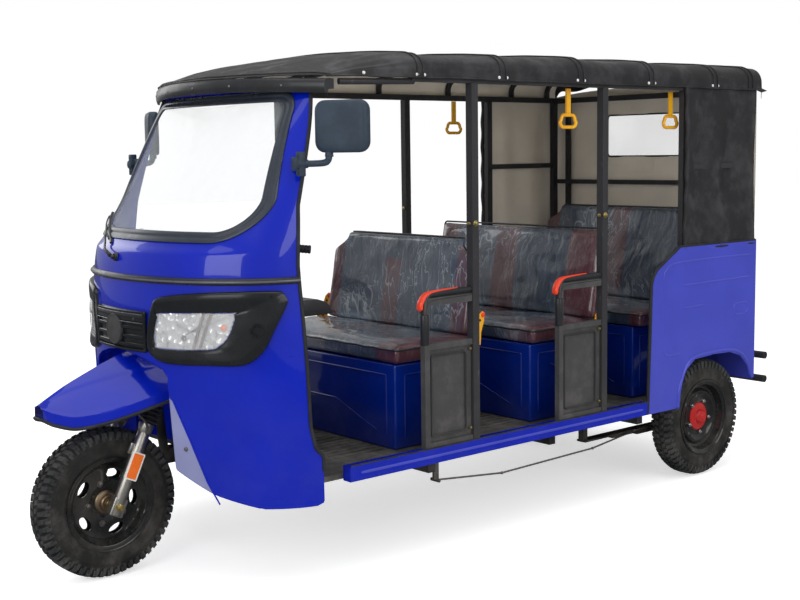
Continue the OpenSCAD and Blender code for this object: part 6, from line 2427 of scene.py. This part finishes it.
class RICKSHAW_OT_materials(bpy.types.Operator):
    """Builds every finish from the chosen colours."""
    bl_idname = "rickshaw.materials"
    bl_label = "Finishes"

    def execute(self, context):
        build_materials(context.scene.rickshaw_finishes)
        return {"FINISHED"}


class RICKSHAW_OT_stage(bpy.types.Operator):
    """Builds the floor, lamps and camera."""
    bl_idname = "rickshaw.stage"
    bl_label = "Stage"

    def execute(self, context):
        build_stage(context.scene.rickshaw_stage)
        return {"FINISHED"}


PIECE_OPERATORS = [
    RICKSHAW_OT_cad_finishes,
    RICKSHAW_OT_nose,
    RICKSHAW_OT_cowl,
    RICKSHAW_OT_waist_strip,
    RICKSHAW_OT_windscreen,
    RICKSHAW_OT_wiper,
    RICKSHAW_OT_lamps,
    RICKSHAW_OT_grille,
    RICKSHAW_OT_visor,
    RICKSHAW_OT_canopy,
    RICKSHAW_OT_curtains,
    RICKSHAW_OT_mirrors,
    RICKSHAW_OT_tyres,
    RICKSHAW_OT_rims,
    RICKSHAW_OT_fork,
    RICKSHAW_OT_fender,
    RICKSHAW_OT_handlebar,
    RICKSHAW_OT_cushions,
    RICKSHAW_OT_boxes,
    RICKSHAW_OT_guards,
    RICKSHAW_OT_brackets,
    RICKSHAW_OT_tub,
    RICKSHAW_OT_tail,
    RICKSHAW_OT_cabin,
]


class RICKSHAW_PT_panel(bpy.types.Panel):
    """Lists the settings and the pieces."""
    bl_idname = "RICKSHAW_PT_panel"
    bl_label = "Rickshaw"
    bl_space_type = "VIEW_3D"
    bl_region_type = "UI"
    bl_category = "Rickshaw"

    def draw(self, context):
        for group in (context.scene.rickshaw_sizes, context.scene.rickshaw_finishes, context.scene.rickshaw_stage):
            box = self.layout.box()
            for key in group.__annotations__:
                box.prop(group, key)
        for operator in [RICKSHAW_OT_materials] + PIECE_OPERATORS + [RICKSHAW_OT_stage]:
            self.layout.operator(operator.bl_idname)


CLASSES = [SizeSettings, FinishSettings, StageSettings, RICKSHAW_OT_materials, *PIECE_OPERATORS, RICKSHAW_OT_stage,
           RICKSHAW_PT_panel]


def register():
    """Adds the settings, operators and panel."""
    for c in CLASSES:
        bpy.utils.register_class(c)
    bpy.types.Scene.rickshaw_sizes = bpy.props.PointerProperty(type=SizeSettings)
    bpy.types.Scene.rickshaw_finishes = bpy.props.PointerProperty(type=FinishSettings)
    bpy.types.Scene.rickshaw_stage = bpy.props.PointerProperty(type=StageSettings)


def unregister():
    """Removes them again."""
    del bpy.types.Scene.rickshaw_sizes, bpy.types.Scene.rickshaw_finishes, bpy.types.Scene.rickshaw_stage
    for c in reversed(CLASSES):
        bpy.utils.unregister_class(c)


def main():
    """Builds every finish and piece in order, then the stage."""
    register()
    bpy.ops.rickshaw.materials()
    bpy.ops.rickshaw.cad_finishes()
    bpy.ops.rickshaw.nose()
    bpy.ops.rickshaw.cowl()
    bpy.ops.rickshaw.waist_strip()
    bpy.ops.rickshaw.windscreen()
    bpy.ops.rickshaw.wiper()
    bpy.ops.rickshaw.lamps()
    bpy.ops.rickshaw.grille()
    bpy.ops.rickshaw.visor()
    bpy.ops.rickshaw.canopy()
    bpy.ops.rickshaw.curtains()
    bpy.ops.rickshaw.mirrors()
    bpy.ops.rickshaw.tyres()
    bpy.ops.rickshaw.rims()
    bpy.ops.rickshaw.fork()
    bpy.ops.rickshaw.fender()
    bpy.ops.rickshaw.handlebar()
    bpy.ops.rickshaw.cushions()
    bpy.ops.rickshaw.boxes()
    bpy.ops.rickshaw.guards()
    bpy.ops.rickshaw.brackets()
    bpy.ops.rickshaw.tub()
    bpy.ops.rickshaw.tail()
    bpy.ops.rickshaw.cabin()
    bpy.ops.rickshaw.stage()


if __name__ == "__main__":
    main()
